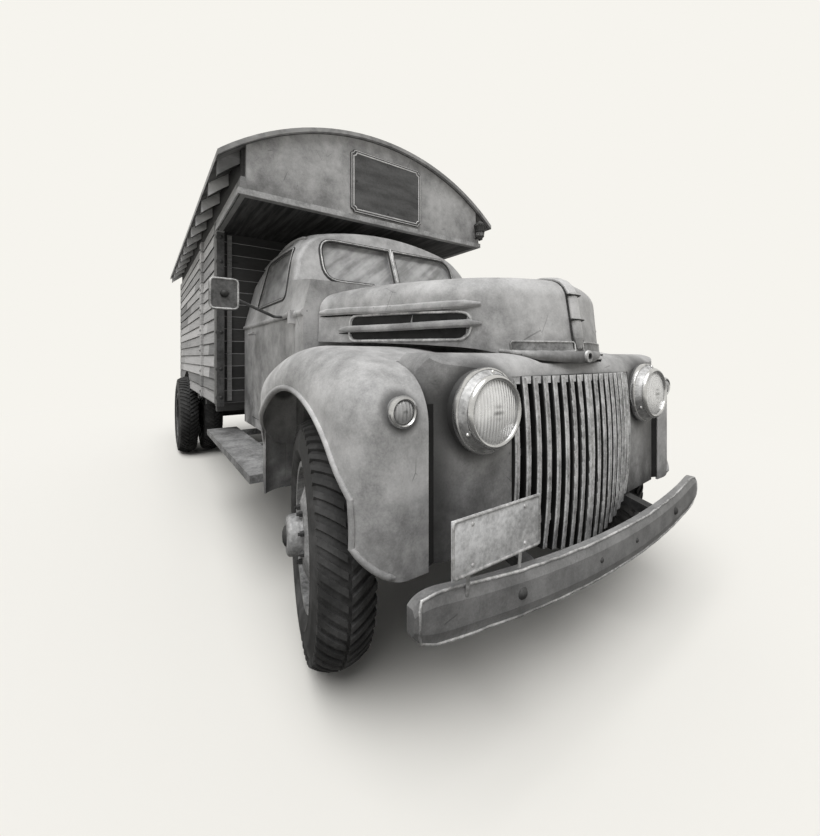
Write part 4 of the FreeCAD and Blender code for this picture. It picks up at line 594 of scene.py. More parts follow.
def strip(bm, spots, width, height, loop=False, ends=1.0, bulge=False):
    """Lays a moulding with a rounded top along (point, normal) spots. ends narrows its two ends,
    and bulge swells it from its ends to its middle."""
    points = [Vector(p) for p, _ in spots]
    last = len(points) - 1
    outlines = []
    for i, (_, normal) in enumerate(spots):
        after = points[(i + 1) % (last + 1) if loop else min(i + 1, last)]
        before = points[i - 1 if loop else max(i - 1, 0)]
        up = Vector(normal).normalized()
        across = (after - before).normalized().cross(up).normalized()
        scale = ends if i in (0, last) and not loop else 1.0
        if bulge:
            scale = ends + (1 - ends) * sin(pi * i / last)
        tops = [(a, height * scale * b) for a, b in STRIP_SECTION]
        section = [(-0.5, -STRIP_SINK), *tops, (0.5, -STRIP_SINK)]
        outlines.append([points[i] + across * width * scale * a + up * b for a, b in section])
    sweep(bm, outlines, loop)


def band(bm, lows, highs, height):
    """A thin plate between two rows of (point, normal), standing proud of the surface by height."""
    sweep(bm, [
        [low - m * BAND_SINK, low + m * height, high + n * height, high - n * BAND_SINK]
        for (low, m), (high, n) in zip(lows, highs)
    ])


def soften(bm, width, segments=2, angle=radians(35)):
    """Rounds the sharp edges of what the bmesh holds."""
    sharp = [e for e in bm.edges if len(e.link_faces) == 2 and e.calc_face_angle(0) > angle]
    bmesh.ops.bevel(
        bm, geom=sharp, offset=width, offset_type="OFFSET", segments=segments, profile=0.5, affect="EDGES",
        clamp_overlap=True, material=-1,
    )


def piece(name, bm, material, body="truck", crease=radians(38), instead_of=None):
    """Makes the object, gives it its finish and sets it on its body. With no crease it is shaded flat."""
    bmesh.ops.remove_doubles(bm, verts=bm.verts, dist=SAME_POINT)
    bmesh.ops.recalc_face_normals(bm, faces=bm.faces)
    mesh = bpy.data.meshes.new(name)
    bm.to_mesh(mesh)
    bm.free()
    if crease:
        mesh.shade_smooth()
        mesh.set_sharp_from_angle(angle=crease)
    mesh.materials.append(material)
    made = bpy.data.objects.new(name, mesh)
    bpy.context.scene.collection.objects.link(made)
    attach(made, body)
    if instead_of:
        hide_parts(instead_of)
    return made


def slab(name, low, high, material, slot, soft, *segments):
    """A piece that is one block with softened edges."""
    bm = bmesh.new()
    block(bm, low, high)
    soften(bm, soft, *segments)
    piece(name, bm, material)


def touch(node, start, direction):
    """Where a line meets a CAD node's surface, with the normal there."""
    direction = Vector(direction)
    hit, place, normal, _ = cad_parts[node].ray_cast(Vector(start), direction.normalized())
    if not hit:
        raise RuntimeError(f"nothing of {node} lies on the line from {tuple(start)}")
    return place, -normal if normal.dot(direction) > 0 else normal


def between(first, last, count):
    """Evenly spaced points from first to last."""
    first, last = Vector(first), Vector(last)
    return [first.lerp(last, i / (count - 1)) for i in range(count)]


def along(points, spacing):
    """The same path with points no further apart than the spacing."""
    path = [Vector(points[0])]
    for first, last in zip(points, points[1:]):
        count = max(2, round((Vector(last) - Vector(first)).length / spacing) + 1)
        path += between(first, last, count)[1:]
    return path


def rounded_loop(corners, radius, steps=4):
    """Points round a closed outline whose corners are rounded by the radius, or by one each."""
    points = []
    for i, corner in enumerate(map(Vector, corners)):
        before, after = Vector(corners[i - 1]), Vector(corners[(i + 1) % len(corners)])
        reach = radius[i] if isinstance(radius, tuple) else radius
        start = corner + (before - corner).normalized() * reach
        end = corner + (after - corner).normalized() * reach
        for t in (step / steps for step in range(steps + 1)):
            points.append(start * (1 - t) ** 2 + corner * 2 * t * (1 - t) + end * t ** 2)
    return points


def rectangle(low, high, sign=1):
    """The corners of a rectangle between two corners, mirrored where sign is -1."""
    (a0, b0), (a1, b1) = low, high
    return [(sign * a0, b0), (sign * a1, b0), (sign * a1, b1), (sign * a0, b1)]


def from_side(node, sign, spots):
    """Where points (station, height) seen square from one side meet a node."""
    return [touch(node, at(x, sign * OUTSIDE_Y, z), (0, -sign, 0)) for x, z in spots]


def from_front(node, spots, station=OUTSIDE_X):
    """Where points (y, height) seen square from the front meet a node."""
    return [touch(node, at(station, y, z), BACK) for y, z in spots]


def from_above(node, spots, height=OUTSIDE_Z):
    """Where points (station, y) seen from above meet a node."""
    return [touch(node, at(x, y, height), DOWN) for x, y in spots]


def flat(points, normal):
    """Spots for a strip on a flat face."""
    return [(point, normal) for point in points]


def lifted(spots, height):
    """The same spots, further out."""
    return [(p + n * height, n) for p, n in spots]


# Tyres and wheels
ABOUT_Y = Matrix.Rotation(radians(90), 4, "X")  # local Z becomes -Y, the wheel's outer side
CARCASS = [  # radius and width from the middle plane, bead to bead over the crown
    (0.262, 0.07), (0.279, 0.072), (0.286, 0.083), (0.3, 0.0935), (0.318, 0.1), (0.324, 0.1022),
    (0.328, 0.1006), (0.345, 0.1016), (0.362, 0.1002), (0.37, 0.1), (0.374, 0.0976), (0.395, 0.093),
    (0.412, 0.0868), (0.424, 0.08), (0.435, 0.056), (0.442, 0.03), (0.444, 0.0),
]
LUG_COUNT, LUG_STEPS = 58, 3
LUG_LENGTH, LUG_SLANT, LUG_DEPTH = 0.027, 0.062, 0.022
LUG_INNER, LUG_OUTER = 0.006, 0.091
LUG_TOP_SHARE = 0.84
CROWN_RADIUS, SHOULDER_DROP, SHOULDER_Y = 0.4585, 0.03, 0.091
NUT_COUNT, NUT_CIRCLE, NUT_RADIUS, NUT_HEIGHT = 8, 0.099, 0.0125, 0.014
NUT_TAPER, STUD_SHARE, STUD_REACH = 0.86, 0.5, 1.6
DISC_FACE = 0.092
LIP_SECTION = [(0.2545, 0.0845), (0.2775, 0.0845), (0.2785, 0.083), (0.2785, 0.076), (0.2545, 0.076)]
HUB_CAP = [(0.0, 0.1645), (0.02, 0.163), (0.034, 0.157), (0.04, 0.15), (0.042, 0.14), (0.0, 0.14)]
WHEEL_STEPS, HUB_STEPS, TREAD_CREASE = 72, 32, radians(32)


def wheel_place(station, y, steer=0.0):
    """Carries a wheel piece, drawn about Y with its outer face toward -Y, to its hub."""
    pin = Vector((FRONT_AXLE, copysign(KINGPIN_Y, y), 0))
    swing = Matrix.Translation(pin) @ Matrix.Rotation(steer, 4, "Z") @ Matrix.Translation(-pin)
    flip = Matrix.Diagonal((1, -1 if y > 0 else 1, 1, 1))
    return swing @ Matrix.Translation(at(station, y, TYRE_RADIUS)) @ flip


def lug(bm, side):
    """One slanted tread bar, from near the middle to the shoulder."""
    offset = 0.5 * tau / LUG_COUNT if side > 0 else 0.0
    outlines = []
    for across in (step / LUG_STEPS for step in range(LUG_STEPS + 1)):
        y = LUG_INNER + (LUG_OUTER - LUG_INNER) * across
        crown = CROWN_RADIUS - SHOULDER_DROP * (y / SHOULDER_Y) ** 2
        points = []
        for u, radius in ((-0.5, crown - LUG_DEPTH), (0.5, crown - LUG_DEPTH),
                          (0.5 * LUG_TOP_SHARE, crown), (-0.5 * LUG_TOP_SHARE, crown)):
            turn = (u * LUG_LENGTH + LUG_SLANT * across) / CROWN_RADIUS + offset
            points.append(Vector((radius * cos(turn), side * y, radius * sin(turn))))
        outlines.append(points)
    sweep(bm, outlines)


def tyre_mesh(bm, matrix):
    """A carcass spun from its section, with slanted bars round the tread."""
    outline = [(CARCASS[0][0], 0.0)] + CARCASS + [(r, -y) for r, y in reversed(CARCASS[:-1])]
    turned(bm, outline, matrix @ ABOUT_Y, WHEEL_STEPS, closed=True)
    kept = set(bm.verts)
    for side in (-1, 1):
        start = set(bm.verts)
        lug(bm, side)
        new = [v for v in bm.verts if v not in start]
        edges, faces = {e for v in new for e in v.link_edges}, {f for v in new for f in v.link_faces}
        geometry, steps = [*new, *edges, *faces], LUG_COUNT - 1
        bmesh.ops.spin(
            bm, geom=geometry, axis=(0, 1, 0), cent=(0, 0, 0), angle=tau * steps / LUG_COUNT, steps=steps,
            use_duplicate=True,
        )
    bmesh.ops.transform(bm, matrix=matrix, verts=[v for v in bm.verts if v not in kept])


def tyres():
    for side, sign in SIDES:
        front = [wheel_place(0, sign * FRONT_WHEEL_Y, REST_STEER)]
        rear = [wheel_place(-WHEELBASE, sign * y) for y in (REAR_OUTER_Y, REAR_INNER_Y)]
        for places, node, body in (
            (front, f"tyre_front_{side}", f"front_wheel_{side}"),
            (rear, f"tyres_rear_{side}", f"rear_wheels_{side}"),
        ):
            bm = bmesh.new()
            for place in places:
                tyre_mesh(bm, place)
            piece(f"treaded_{node}", bm, RUBBER, body, TREAD_CREASE, node)


def wheel_nuts(bm, matrix):
    """Nuts with stud ends, set in a circle on the disc."""
    out = Vector((0, -NUT_HEIGHT, 0))
    for i in range(NUT_COUNT):
        turn = tau * (i + 0.5) / NUT_COUNT
        foot = Vector((NUT_CIRCLE * cos(turn), -DISC_FACE, NUT_CIRCLE * sin(turn)))
        made = rod(bm, foot, foot + out, NUT_RADIUS, NUT_RADIUS * NUT_TAPER, 6)
        made += rod(bm, foot + out, foot + out * STUD_REACH, NUT_RADIUS * STUD_SHARE, None, 8)
        bmesh.ops.transform(bm, matrix=matrix, verts=made)


def wheel_fittings():
    for side, sign in SIDES:
        front = wheel_place(0, sign * FRONT_WHEEL_Y, REST_STEER)
        rear = wheel_place(-WHEELBASE, sign * REAR_OUTER_Y)
        bm = bmesh.new()
        wheel_nuts(bm, front)
        piece(f"wheel_nuts_front_{side}", bm, FRAME_STEEL, f"front_wheel_{side}")
        for name, place, outline, steps, material, body in (
            ("rim_lip_front", front, LIP_SECTION, WHEEL_STEPS, LIP_STEEL, "front_wheel"),
            ("hub_cap_front", front, HUB_CAP, HUB_STEPS, FRAME_STEEL, "front_wheel"),
            ("rim_lip_rear", rear, LIP_SECTION, WHEEL_STEPS, LIP_STEEL, "rear_wheels"),
        ):
            bm = bmesh.new()
            turned(bm, outline, place @ ABOUT_Y, steps, closed=outline is LIP_SECTION)
            piece(f"{name}_{side}", bm, material, f"{body}_{side}")


# Hood mouldings, as stations and heights
BELT_RIB = [(-0.386, 1.377), (-0.17, 1.37), (0.0, 1.36), (0.13, 1.355), (0.25, 1.354), (0.34, 1.354),
            (0.425, 1.354)]
VENT_RIB = [(-0.24, 1.286), (-0.17, 1.285), (0.0, 1.281), (0.13, 1.279), (0.25, 1.28), (0.34, 1.281),
            (0.4, 1.282), (0.432, 1.282)]
HOOD_RIBS = ((BELT_RIB, 0.032, 0.019, 0.45), (VENT_RIB, 0.029, 0.024, 0.3))  # path, width, height, ends
RIB_STEP, SHADOW_LINE_DROP = 0.05, 0.003
VENT_CORNERS = [(-0.165, 1.231), (0.405, 1.221), (0.405, 1.326), (-0.165, 1.345)]
VENT_ROUND = 0.042
VENT_COLUMNS = [(-0.15, 0.6), (-0.135, 0.88), (-0.1, 1.0), (0.0, 1.0), (0.13, 1.0), (0.25, 1.0), (0.33, 1.0),
                (0.375, 0.9), (0.392, 0.6)]
VENT_MIDDLE, VENT_HALF, VENT_SLOPE, THROAT_PROUD = 1.2855, 0.0545, -0.022, 0.0016
NOSE_TOP = (0.36, 0.42, 0.47, 0.49)
NOSE_FRONT = (1.455, 1.435, 1.41, 1.38, 1.33, 1.28, 1.23, 1.19)
NOSE_MIDDLE_Y = 0.001
NOSE_WIDTH, NOSE_HEIGHT = 0.062, 0.017
NOSE_SEAM, TIE_SEAM = (NOSE_WIDTH + 0.018, 0.0035), (0.009, NOSE_HEIGHT + 0.004)  # width, height
NOSE_TIES, TIE_YS = (1.4, 1.302), (-0.036, -0.018, 0.0005, 0.018, 0.036)
NAME_YS, NAME_LOW, NAME_HIGH = (0.034, 0.09, 0.15, 0.21, 0.26, 0.292), 1.181, 1.212
NAME_RIM, NAME_ROUND, NAME_PROUD = ((0.028, 1.178), (0.296, 1.215)), 0.008, 0.003
HOOD_LIP = [(0.335, 1.181), (0.27, 1.172), (0.19, 1.163), (0.1, 1.158)]
LIP_MIDDLE = (0.0, 1.156)
LATCH_Y, LATCH_Z, LATCH_LIFT, LATCH_RADIUS = 0.02, 1.16, 0.022, 0.023
LATCH_RING = [(0.6, 0), (0.6, 0.01), (1, 0.008), (1.1, 0)]  # share of the radius, height
LATCH_HOLE, HOLE_BACK, HOLE_AHEAD = 0.62, Vector((0.012, 0, 0)), Vector((0.003, 0, 0))


def hood_side_trim():
    """The belt rib, and the vent with its rim, its throat as a near-black band of painted shade, and its
    rib, with a painted shadow line under each rib, on both sides of the hood.
    """
    ribs, rims, throats, seams = (bmesh.new() for _ in range(4))
    for _, sign in SIDES:
        for path, width, height, ends in HOOD_RIBS:
            strip(ribs, from_side("hood", sign, along(path, RIB_STEP)), width, height, ends=ends)
            # Painted shadow: a near-black line under each rib.
            under = [(x, z - width / 2 - SHADOW_LINE_DROP) for x, z in path[:-1]]
            strip(seams, from_side("hood", sign, along(under, RIB_STEP)), *RIB_SHADOW_LINE, ends=0.3)
        loop = along(rounded_loop(VENT_CORNERS, VENT_ROUND), 0.06)
        strip(rims, from_side("hood", sign, loop), *VENT_RIM, loop=True)
        # Painted shade: a thin near-black band on the hood stands for the vent's throat.
        low, high = (
            from_side("hood", sign, [(x, VENT_MIDDLE + VENT_SLOPE * x + edge * VENT_HALF * share)
                                     for x, share in VENT_COLUMNS])
            for edge in (-1, 1)
        )
        band(throats, low, high, THROAT_PROUD)
    piece("hood_ribs", ribs, HOOD_PAINT, "hood_body")
    piece("hood_vent_rims", rims, LIP_STEEL, "hood_body")
    piece("hood_vent_throat_shade", throats, VOID, "hood_body")
    piece("hood_rib_shadow_lines", seams, VOID, "hood_body")


def hood_nose_trim():
    """The strip down the nose with its ties, the blank name bar, the rolled lip under it and the latch."""
    strips, seams, bars, rims, lip, ring, hole = (bmesh.new() for _ in range(7))
    spots = from_above("hood", [(x, NOSE_MIDDLE_Y) for x in NOSE_TOP], 1.8)
    spots += from_front("hood", [(NOSE_MIDDLE_Y, z) for z in NOSE_FRONT])
    strip(strips, spots, NOSE_WIDTH, NOSE_HEIGHT, ends=0.5)
    piece("hood_nose_strip", strips, NOSE_STRIP_PAINT, "hood_body")
    strip(seams, spots, *NOSE_SEAM)
    for z in NOSE_TIES:
        strip(seams, from_front("hood", [(y, z) for y in TIE_YS]), *TIE_SEAM)
    piece("hood_nose_seams", seams, SEAL, "hood_body")
    for _, sign in SIDES:
        low, high = (from_front("hood", [(sign * y, z) for y in NAME_YS]) for z in (NAME_LOW, NAME_HIGH))
        band(bars, low, high, NAME_PROUD)
        loop = along(rounded_loop(rectangle(*NAME_RIM, sign), NAME_ROUND, 2), 0.05)
        strip(rims, from_front("hood", loop), *NAME_BEAD, loop=True)
    piece("hood_name_bar", bars, POD, "hood_body")
    piece("hood_name_bar_rim", rims, LIP_STEEL, "hood_body")
    path = [(-y, z) for y, z in HOOD_LIP] + [LIP_MIDDLE] + HOOD_LIP[::-1]
    strip(lip, from_front("hood", along(path, 0.03)), *LIP_ROLL, ends=0.25, bulge=True)
    piece("hood_lip", lip, HOOD_PAINT, "hood_body")
    place = from_front("hood", [(LATCH_Y, LATCH_Z)])[0][0] + Vector((LATCH_LIFT, 0, 0))
    turned(ring, [(LATCH_RADIUS * r, h) for r, h in LATCH_RING], facing(place, AHEAD), 24, closed=True)
    piece("hood_latch_ring", ring, LIP_STEEL, "hood_body")
    rod(hole, place - HOLE_BACK, place + HOLE_AHEAD, LATCH_RADIUS * LATCH_HOLE)
    piece("hood_latch_hole", hole, VOID, "hood_body")


# Cab
SCREEN = ((0.012, 1.611), (0.517, 1.884))
SCREEN_ROUND = (0.01, 0.102, 0.102, 0.01)
SCREEN_BAR = (1.604, 1.68, 1.76, 1.84, 1.893)
SCREEN_AHEAD = -0.25  # a station between the windshield and the mirrors
DOOR_WINDOW = [(-0.772, 1.493), (-0.896, 1.829), (-1.407, 1.829), (-1.407, 1.493)]
DOOR_WINDOW_ROUND = 0.04
SCREEN_BEAD_LIFT, SCREEN_BAR_LIFT, WINDOW_BEAD_LIFT = 0.006, 0.007, 0.005
BELT_Z = 1.379
DOOR_BELT = [(-1.468, BELT_Z), (-0.545, BELT_Z)]
CAB_BELTS = ([(-1.695, BELT_Z), (-1.487, BELT_Z)], [(-0.528, BELT_Z), (-0.404, BELT_Z)])
RAIN_RAIL = [(-0.868, 1.885), (-0.94, 1.905), (-1.05, 1.915), (-1.2, 1.915), (-1.35, 1.912), (-1.47, 1.902),
             (-1.5, 1.86), (-1.505, 1.8)]
COWL_LID = ((-0.66, -0.13), (-0.5, 0.13))
COWL_ROUND, COWL_LIFT = 0.03, Vector((0, 0, 0.009))


def screen_trim():
    """Rubber seals with a bright bead round the windshield halves, and the bar between them."""
    seals, beads = bmesh.new(), bmesh.new()
    for _, sign in SIDES:
        loop = along(rounded_loop(rectangle(*SCREEN, sign), SCREEN_ROUND, 6), 0.08)
        spots = from_front("cab_shell", loop, SCREEN_AHEAD)
        strip(seals, spots, *SCREEN_SEAL, loop=True)
        strip(beads, lifted(spots, SCREEN_BEAD_LIFT), *SCREEN_BEAD, loop=True)
    piece("screen_seals", seals, SEAL)
    bar = from_front("cab_shell", [(0.0, z) for z in SCREEN_BAR], SCREEN_AHEAD)
    strip(beads, lifted(bar, SCREEN_BAR_LIFT), *SCREEN_POST)
    piece("screen_beads", beads, LIP_STEEL)


def door_trim():
    """Window seals, belt mouldings and rain rails. What is on a door rides the door."""
    rails = bmesh.new()
    for side, sign in SIDES:
        door = f"door_{side}"
        seal, mouldings = bmesh.new(), bmesh.new()
        spots = from_side(door, sign, along(rounded_loop(DOOR_WINDOW, DOOR_WINDOW_ROUND), 0.09))
        strip(seal, spots, *WINDOW_SEAL, loop=True)
        piece(f"door_window_seal_{side}", seal, SEAL, f"{door}_body")
        strip(mouldings, lifted(spots, WINDOW_BEAD_LIFT), *WINDOW_BEAD, loop=True)
        strip(mouldings, from_side(door, sign, along(DOOR_BELT, 0.2)), *BELT)
        piece(f"door_mouldings_{side}", mouldings, CAB_PAINT, f"{door}_body")
        for stretch in CAB_BELTS:
            strip(rails, from_side("cab_shell", sign, stretch), *BELT)
        strip(rails, from_side("cab_shell", sign, along(RAIN_RAIL, 0.06)), *RAIL)
    piece("cab_mouldings", rails, CAB_PAINT)


def cowl_lid():
    """The fresh-air lid on the cowl."""
    spots = from_above("cab_shell", rounded_loop(rectangle(*COWL_LID), COWL_ROUND), 1.75)
    bm = bmesh.new()
    sweep(bm, [[p - COWL_LIFT * 0.3 for p, _ in spots], [p + COWL_LIFT for p, _ in spots]])
    soften(bm, 0.003)
    piece("cowl_lid", bm, CAB_PAINT)


# Lamps, as profiles of (radius, height)
LAMP_FACE, LAMP_BASE, MARKER_FACE = 0.634, 0.6, 0.5655
LAMP_RIM = [(0.096, -0.004), (0.096, 0.006), (0.099, 0.011), (0.104, 0.013), (0.11, 0.01), (0.115, 0.001),
            (0.114, -0.006)]
LAMP_DOME = [(0, 0.016), (0.03, 0.0148), (0.055, 0.012), (0.078, 0.0075), (0.0975, 0.002), (0.0975, -0.004),
             (0, -0.004)]
LAMP_SKIRT = [(0.1305, -0.012), (0.1345, -0.01), (0.1355, -0.002), (0.1335, 0.006), (0.1285, 0.008),
              (0.126, 0.002)]
LAMP_SCREW_TURNS, LAMP_SCREW_CIRCLE = (radians(90), radians(210), radians(330)), 0.12
LAMP_SCREW_RADIUS, LAMP_SCREW_BACK = 0.0075, -0.01
MARKER_LENS, MARKER_SQUEEZE = 0.0345, (0.42, 1, 1)
MARKER_RIM = [(0.034, -0.002), (0.034, 0.006), (0.038, 0.01), (0.044, 0.007), (0.047, -0.001),
              (0.046, -0.006)]


def headlamp_trim():
    """Domed glasses in bright rims, with the screws that hold them."""
    bm, glass = bmesh.new(), bmesh.new()
    for _, sign in SIDES:
        centre = at(LAMP_FACE, sign * LAMP_Y, LAMP_Z)
        turned(bm, LAMP_RIM, facing(centre, AHEAD), 56, closed=True)
        turned(glass, LAMP_DOME, facing(centre, AHEAD), 56)
        turned(bm, LAMP_SKIRT, facing(at(LAMP_BASE, sign * LAMP_Y, LAMP_Z), AHEAD), 56, closed=True)
        for turn in LAMP_SCREW_TURNS:
            spot = Vector((LAMP_SCREW_BACK, LAMP_SCREW_CIRCLE * cos(turn), LAMP_SCREW_CIRCLE * sin(turn)))
            ball(bm, centre + spot, LAMP_SCREW_RADIUS, (0.8, 1, 1))
    piece("headlamp_rims", bm, BRIGHT)
    piece("headlamp_glasses", glass, LENS_GLASS)


def marker_trim():
    lens, rim = bmesh.new(), bmesh.new()
    for _, sign in SIDES:
        centre = at(MARKER_FACE, sign * MARKER_Y, MARKER_Z)
        ball(lens, centre, MARKER_LENS, MARKER_SQUEEZE)
        turned(rim, MARKER_RIM, facing(centre, AHEAD), 40, closed=True)
    piece("marker_lenses", lens, MARKER_GLASS)
    piece("marker_rims", rim, BRIGHT)


# Grille, bumper and plate
GRILLE_HALF, GRILLE_CENTRE, GRILLE_BARS = 0.392, 0.023, 8
GRILLE_PITCH = (GRILLE_HALF - GRILLE_CENTRE) / GRILLE_BARS
GRILLE_SHARE = 0.62
GRILLE_TOP, GRILLE_LOW, GRILLE_SIDE_LOW, GRILLE_INSET = 1.092, 0.446, 0.55, 0.006
GRILLE_DARK = ((0.534, -0.388, 0.556), (0.541, 0.388, 1.088))
BUMPER_END = 0.853
BUMPER_BOLTS = ((-0.514, 0.484, 1.0), (-0.124, 0.468, 0.55), (0.124, 0.468, 0.55), (0.514, 0.484, 1.0))
BUMPER_BOLT = [(0, 0.01), (0.008, 0.009), (0.014, 0.005), (0.017, 0.001), (0.02, -0.002), (0, -0.002)]
EDGE_FROM, EDGE_STEP, EDGE_LEAN = {-1: 0.62, 1: 0.36}, 0.004, 0.25
PLATE_LOW, PLATE_HIGH = at(0.722, -0.782, 0.604), at(0.7265, -0.436, 0.754)
PLATE_RIM_INSET, PLATE_STRAP_INSET, PLATE_SCREWS = 0.004, 0.07, (0.128, 0.022)
PLATE_ROUND, PLATE_SCREW_RADIUS, STRAP_STATION = 0.012, 0.006, 0.705
BUMPER_REACH, LIP_SHARES = 0.845, (0.2, 0.5, 0.8)


def grille_trim():
    """Pale edge strips on the bars, and a near-black slab behind them as painted shade."""
    bm = bmesh.new()
    bars = [sign * (GRILLE_CENTRE + GRILLE_PITCH * (i + 1 - GRILLE_SHARE / 2))
            for sign in (-1, 1) for i in range(GRILLE_BARS)]
    for y in [0.0] + bars:
        low = GRILLE_LOW + (GRILLE_SIDE_LOW - GRILLE_LOW) * (y / GRILLE_HALF) ** 2 + GRILLE_INSET
        ends = (y, low), (y, GRILLE_TOP - GRILLE_INSET)
        strip(bm, from_front("grille", between(*ends, 10)), *BAR_EDGE)
    piece("grille_bar_edges", bm, LIP_STEEL)
    # Painted shade: a near-black slab behind the bars.
    slab("grille_shade_slab", at(*GRILLE_DARK[0]), at(*GRILLE_DARK[1]), VOID, "dark_trim", 0.002)


def bumper_edge(y, way):
    """The rolled edge of the bumper's face, met by stepping down from above it, or up with way 1."""
    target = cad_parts["front_bumper"]
    for i in range(60):
        start = at(OUTSIDE_X, y, EDGE_FROM[way] + way * EDGE_STEP * i)
        hit, place, normal, _ = target.ray_cast(start, Vector(BACK))
        if hit and normal.x > EDGE_LEAN:
            return place, normal
    raise RuntimeError(f"the bumper has no edge at {y}")


def bumper_trim():
    """Domed bolts and pale edge beads, and the blank plate on its straps over the near end."""
    bolts, edges, rim = bmesh.new(), bmesh.new(), bmesh.new()
    for y, z, size in BUMPER_BOLTS:
        place, normal = from_front("front_bumper", [(y, z)])[0]
        turned(bolts, [(r * size, h * size) for r, h in BUMPER_BOLT], facing(place, normal), 20)
    piece("bumper_bolts", bolts, FRAME_STEEL)
    stations = [p.x for p in between((-BUMPER_REACH, 0), (BUMPER_REACH, 0), 41)]
    above = [bumper_edge(y, -1) for y in stations]
    below = [bumper_edge(y, 1) for y in reversed(stations)]
    ends = []
    for (top, _), (foot, _) in ((above[-1], below[0]), (above[0], below[-1])):
        heights = [top.z + (foot.z - top.z) * share for share in LIP_SHARES]
        ends.append(from_front("front_bumper", [(copysign(BUMPER_END, top.y), z) for z in heights]))
    strip(edges, above + ends[0] + below + ends[1][::-1], *BUMPER_BEAD, loop=True)
    piece("bumper_edges", edges, LIP_STEEL)
    slab("front_plate", PLATE_LOW, PLATE_HIGH, PLATE, "dark_trim", 0.0015)
    (_, y0, z0), (face, y1, z1) = PLATE_LOW, PLATE_HIGH
    inset = PLATE_RIM_INSET
    corners = rectangle((y0 + inset, z0 + inset), (y1 - inset, z1 - inset))
    points = [Vector((face, *point)) for point in rounded_loop(corners, PLATE_ROUND, 3)]
    strip(rim, flat(points, AHEAD), *PLATE_BEAD, loop=True)
    for y in (y0 + PLATE_STRAP_INSET, y1 - PLATE_STRAP_INSET):
        foot = from_above("front_bumper", [(STRAP_STATION, y)], 0.9)[0][0] - Vector((0, 0, 0.004))
        top = Vector((PLATE_LOW.x - 0.006, y, z0 + 0.05))
        strip(rim, flat(between(foot, top, 4), AHEAD), *PLATE_STRAP)
        for z in PLATE_SCREWS:
            ball(rim, Vector((face, y, z0 + z)), PLATE_SCREW_RADIUS, (0.6, 1, 1))
    piece("front_plate_fittings", rim, LIP_STEEL)


# House
POST_BOLTS, POST_X, POST_FACE_Y = (0.86, 1.07, 1.34, 1.6, 1.86, 2.04), -1.69, 0.925
POST_BOLT_SIZE, SIDE_BOLT_SIZE = (0.01, 0.006), (0.008, 0.008)
SIDE_BOLTS = (-2.52, 0.85, 2.13, 8)  # station, lowest, highest, count
SIDE_BATTENS, BATTEN_HALF, BATTEN_LOW, BATTEN_HIGH = (-1.8, -4.855), 0.026, 0.806, 2.182
BATTEN_FACE, BATTEN_SINK, BATTEN_RISE = 0.949, 0.012, 0.013
FRONT_BATTEN = ((-1.717, 0.846, 0.83), (-1.7, 0.878, 2.07))
OVER_FRONT = -0.905
SIGN_MIDDLE, SIGN_HALF_Y, SIGN_HALF_Z, SIGN_NOTCH = (0.035, 2.345), 0.29, 0.21, 0.022
SIGN_THICK, SIGN_MARGIN, SIGN_EDGE = 0.014, 0.02, 0.005
EAVE_STATIONS, EAVE_INSET = (-0.874, -4.983), 0.014
EAVE_STRIP = (-0.9, -2.2, -3.5, -4.95)
ROOF_SEAMS = (-1.54, -2.2, -2.86, -3.52, -4.18, -4.78)
ROOF_HALF = 1.05
LANTERN_AXIS = (OVER_FRONT + 0.0546, 0.905)
LANTERN_LOW, LANTERN_HIGH, LANTERN_FOOT, LANTERN_HEAD = 2.158, 2.252, 0.032, 0.0445
LANTERN_GLASS = [(0.0305, 0), (0.034, 0.03), (0.0385, 0.08), (0.0415, 0.09), (0.0, 0.09), (0.0, 0)]
LANTERN_BAR = 0.0028
LANTERN_RINGS = ((0.0345, 2.162), (0.04, 2.203), (0.0455, LANTERN_HIGH))


def bolt(bm, place, normal, radius, height):
    """A domed coach-bolt head on its washer."""
    outline = [(0, height), (radius * 0.6, height * 0.85), (radius, height * 0.3), (radius * 1.05, 0.0015),
               (radius * 1.6, 0.0015), (radius * 1.6, -0.002), (0, -0.002)]
    turned(bm, outline, facing(place, normal), 14)


def house_bolts():
    """Coach bolts on two faces of the corner posts and down the sides."""
    bm = bmesh.new()
    station, low, high, count = SIDE_BOLTS
    for side, sign in SIDES:
        for z in POST_BOLTS:
            bolt(bm, *from_side("house_irons", sign, [(POST_X, z)])[0], *POST_BOLT_SIZE)
            bolt(bm, *from_front("house_irons", [(sign * POST_FACE_Y, z)], -1.3)[0], *POST_BOLT_SIZE)
        for spot in from_side(f"house_side_{side}", sign, between((station, low), (station, high), count)):
            bolt(bm, *spot, *SIDE_BOLT_SIZE)
    piece("house_bolts", bm, FRAME_STEEL)


def house_battens():
    """Cover strips: two down each side, and one at each edge of the front wall."""
    bm = bmesh.new()
    (x0, y0, z0), (x1, y1, z1) = FRONT_BATTEN
    for _, sign in SIDES:
        face = sign * BATTEN_FACE
        low_y, high_y = min(face, face - sign * BATTEN_SINK), max(face, face + sign * BATTEN_RISE)
        for x in SIDE_BATTENS:
            block(bm, at(x - BATTEN_HALF, low_y, BATTEN_LOW), at(x + BATTEN_HALF, high_y, BATTEN_HIGH))
        low_y, high_y = sorted((sign * y0, sign * y1))
        block(bm, at(x0, low_y, z0), at(x1, high_y, z1))
    soften(bm, 0.003)
    piece("house_battens", bm, FLOOR_WOOD)


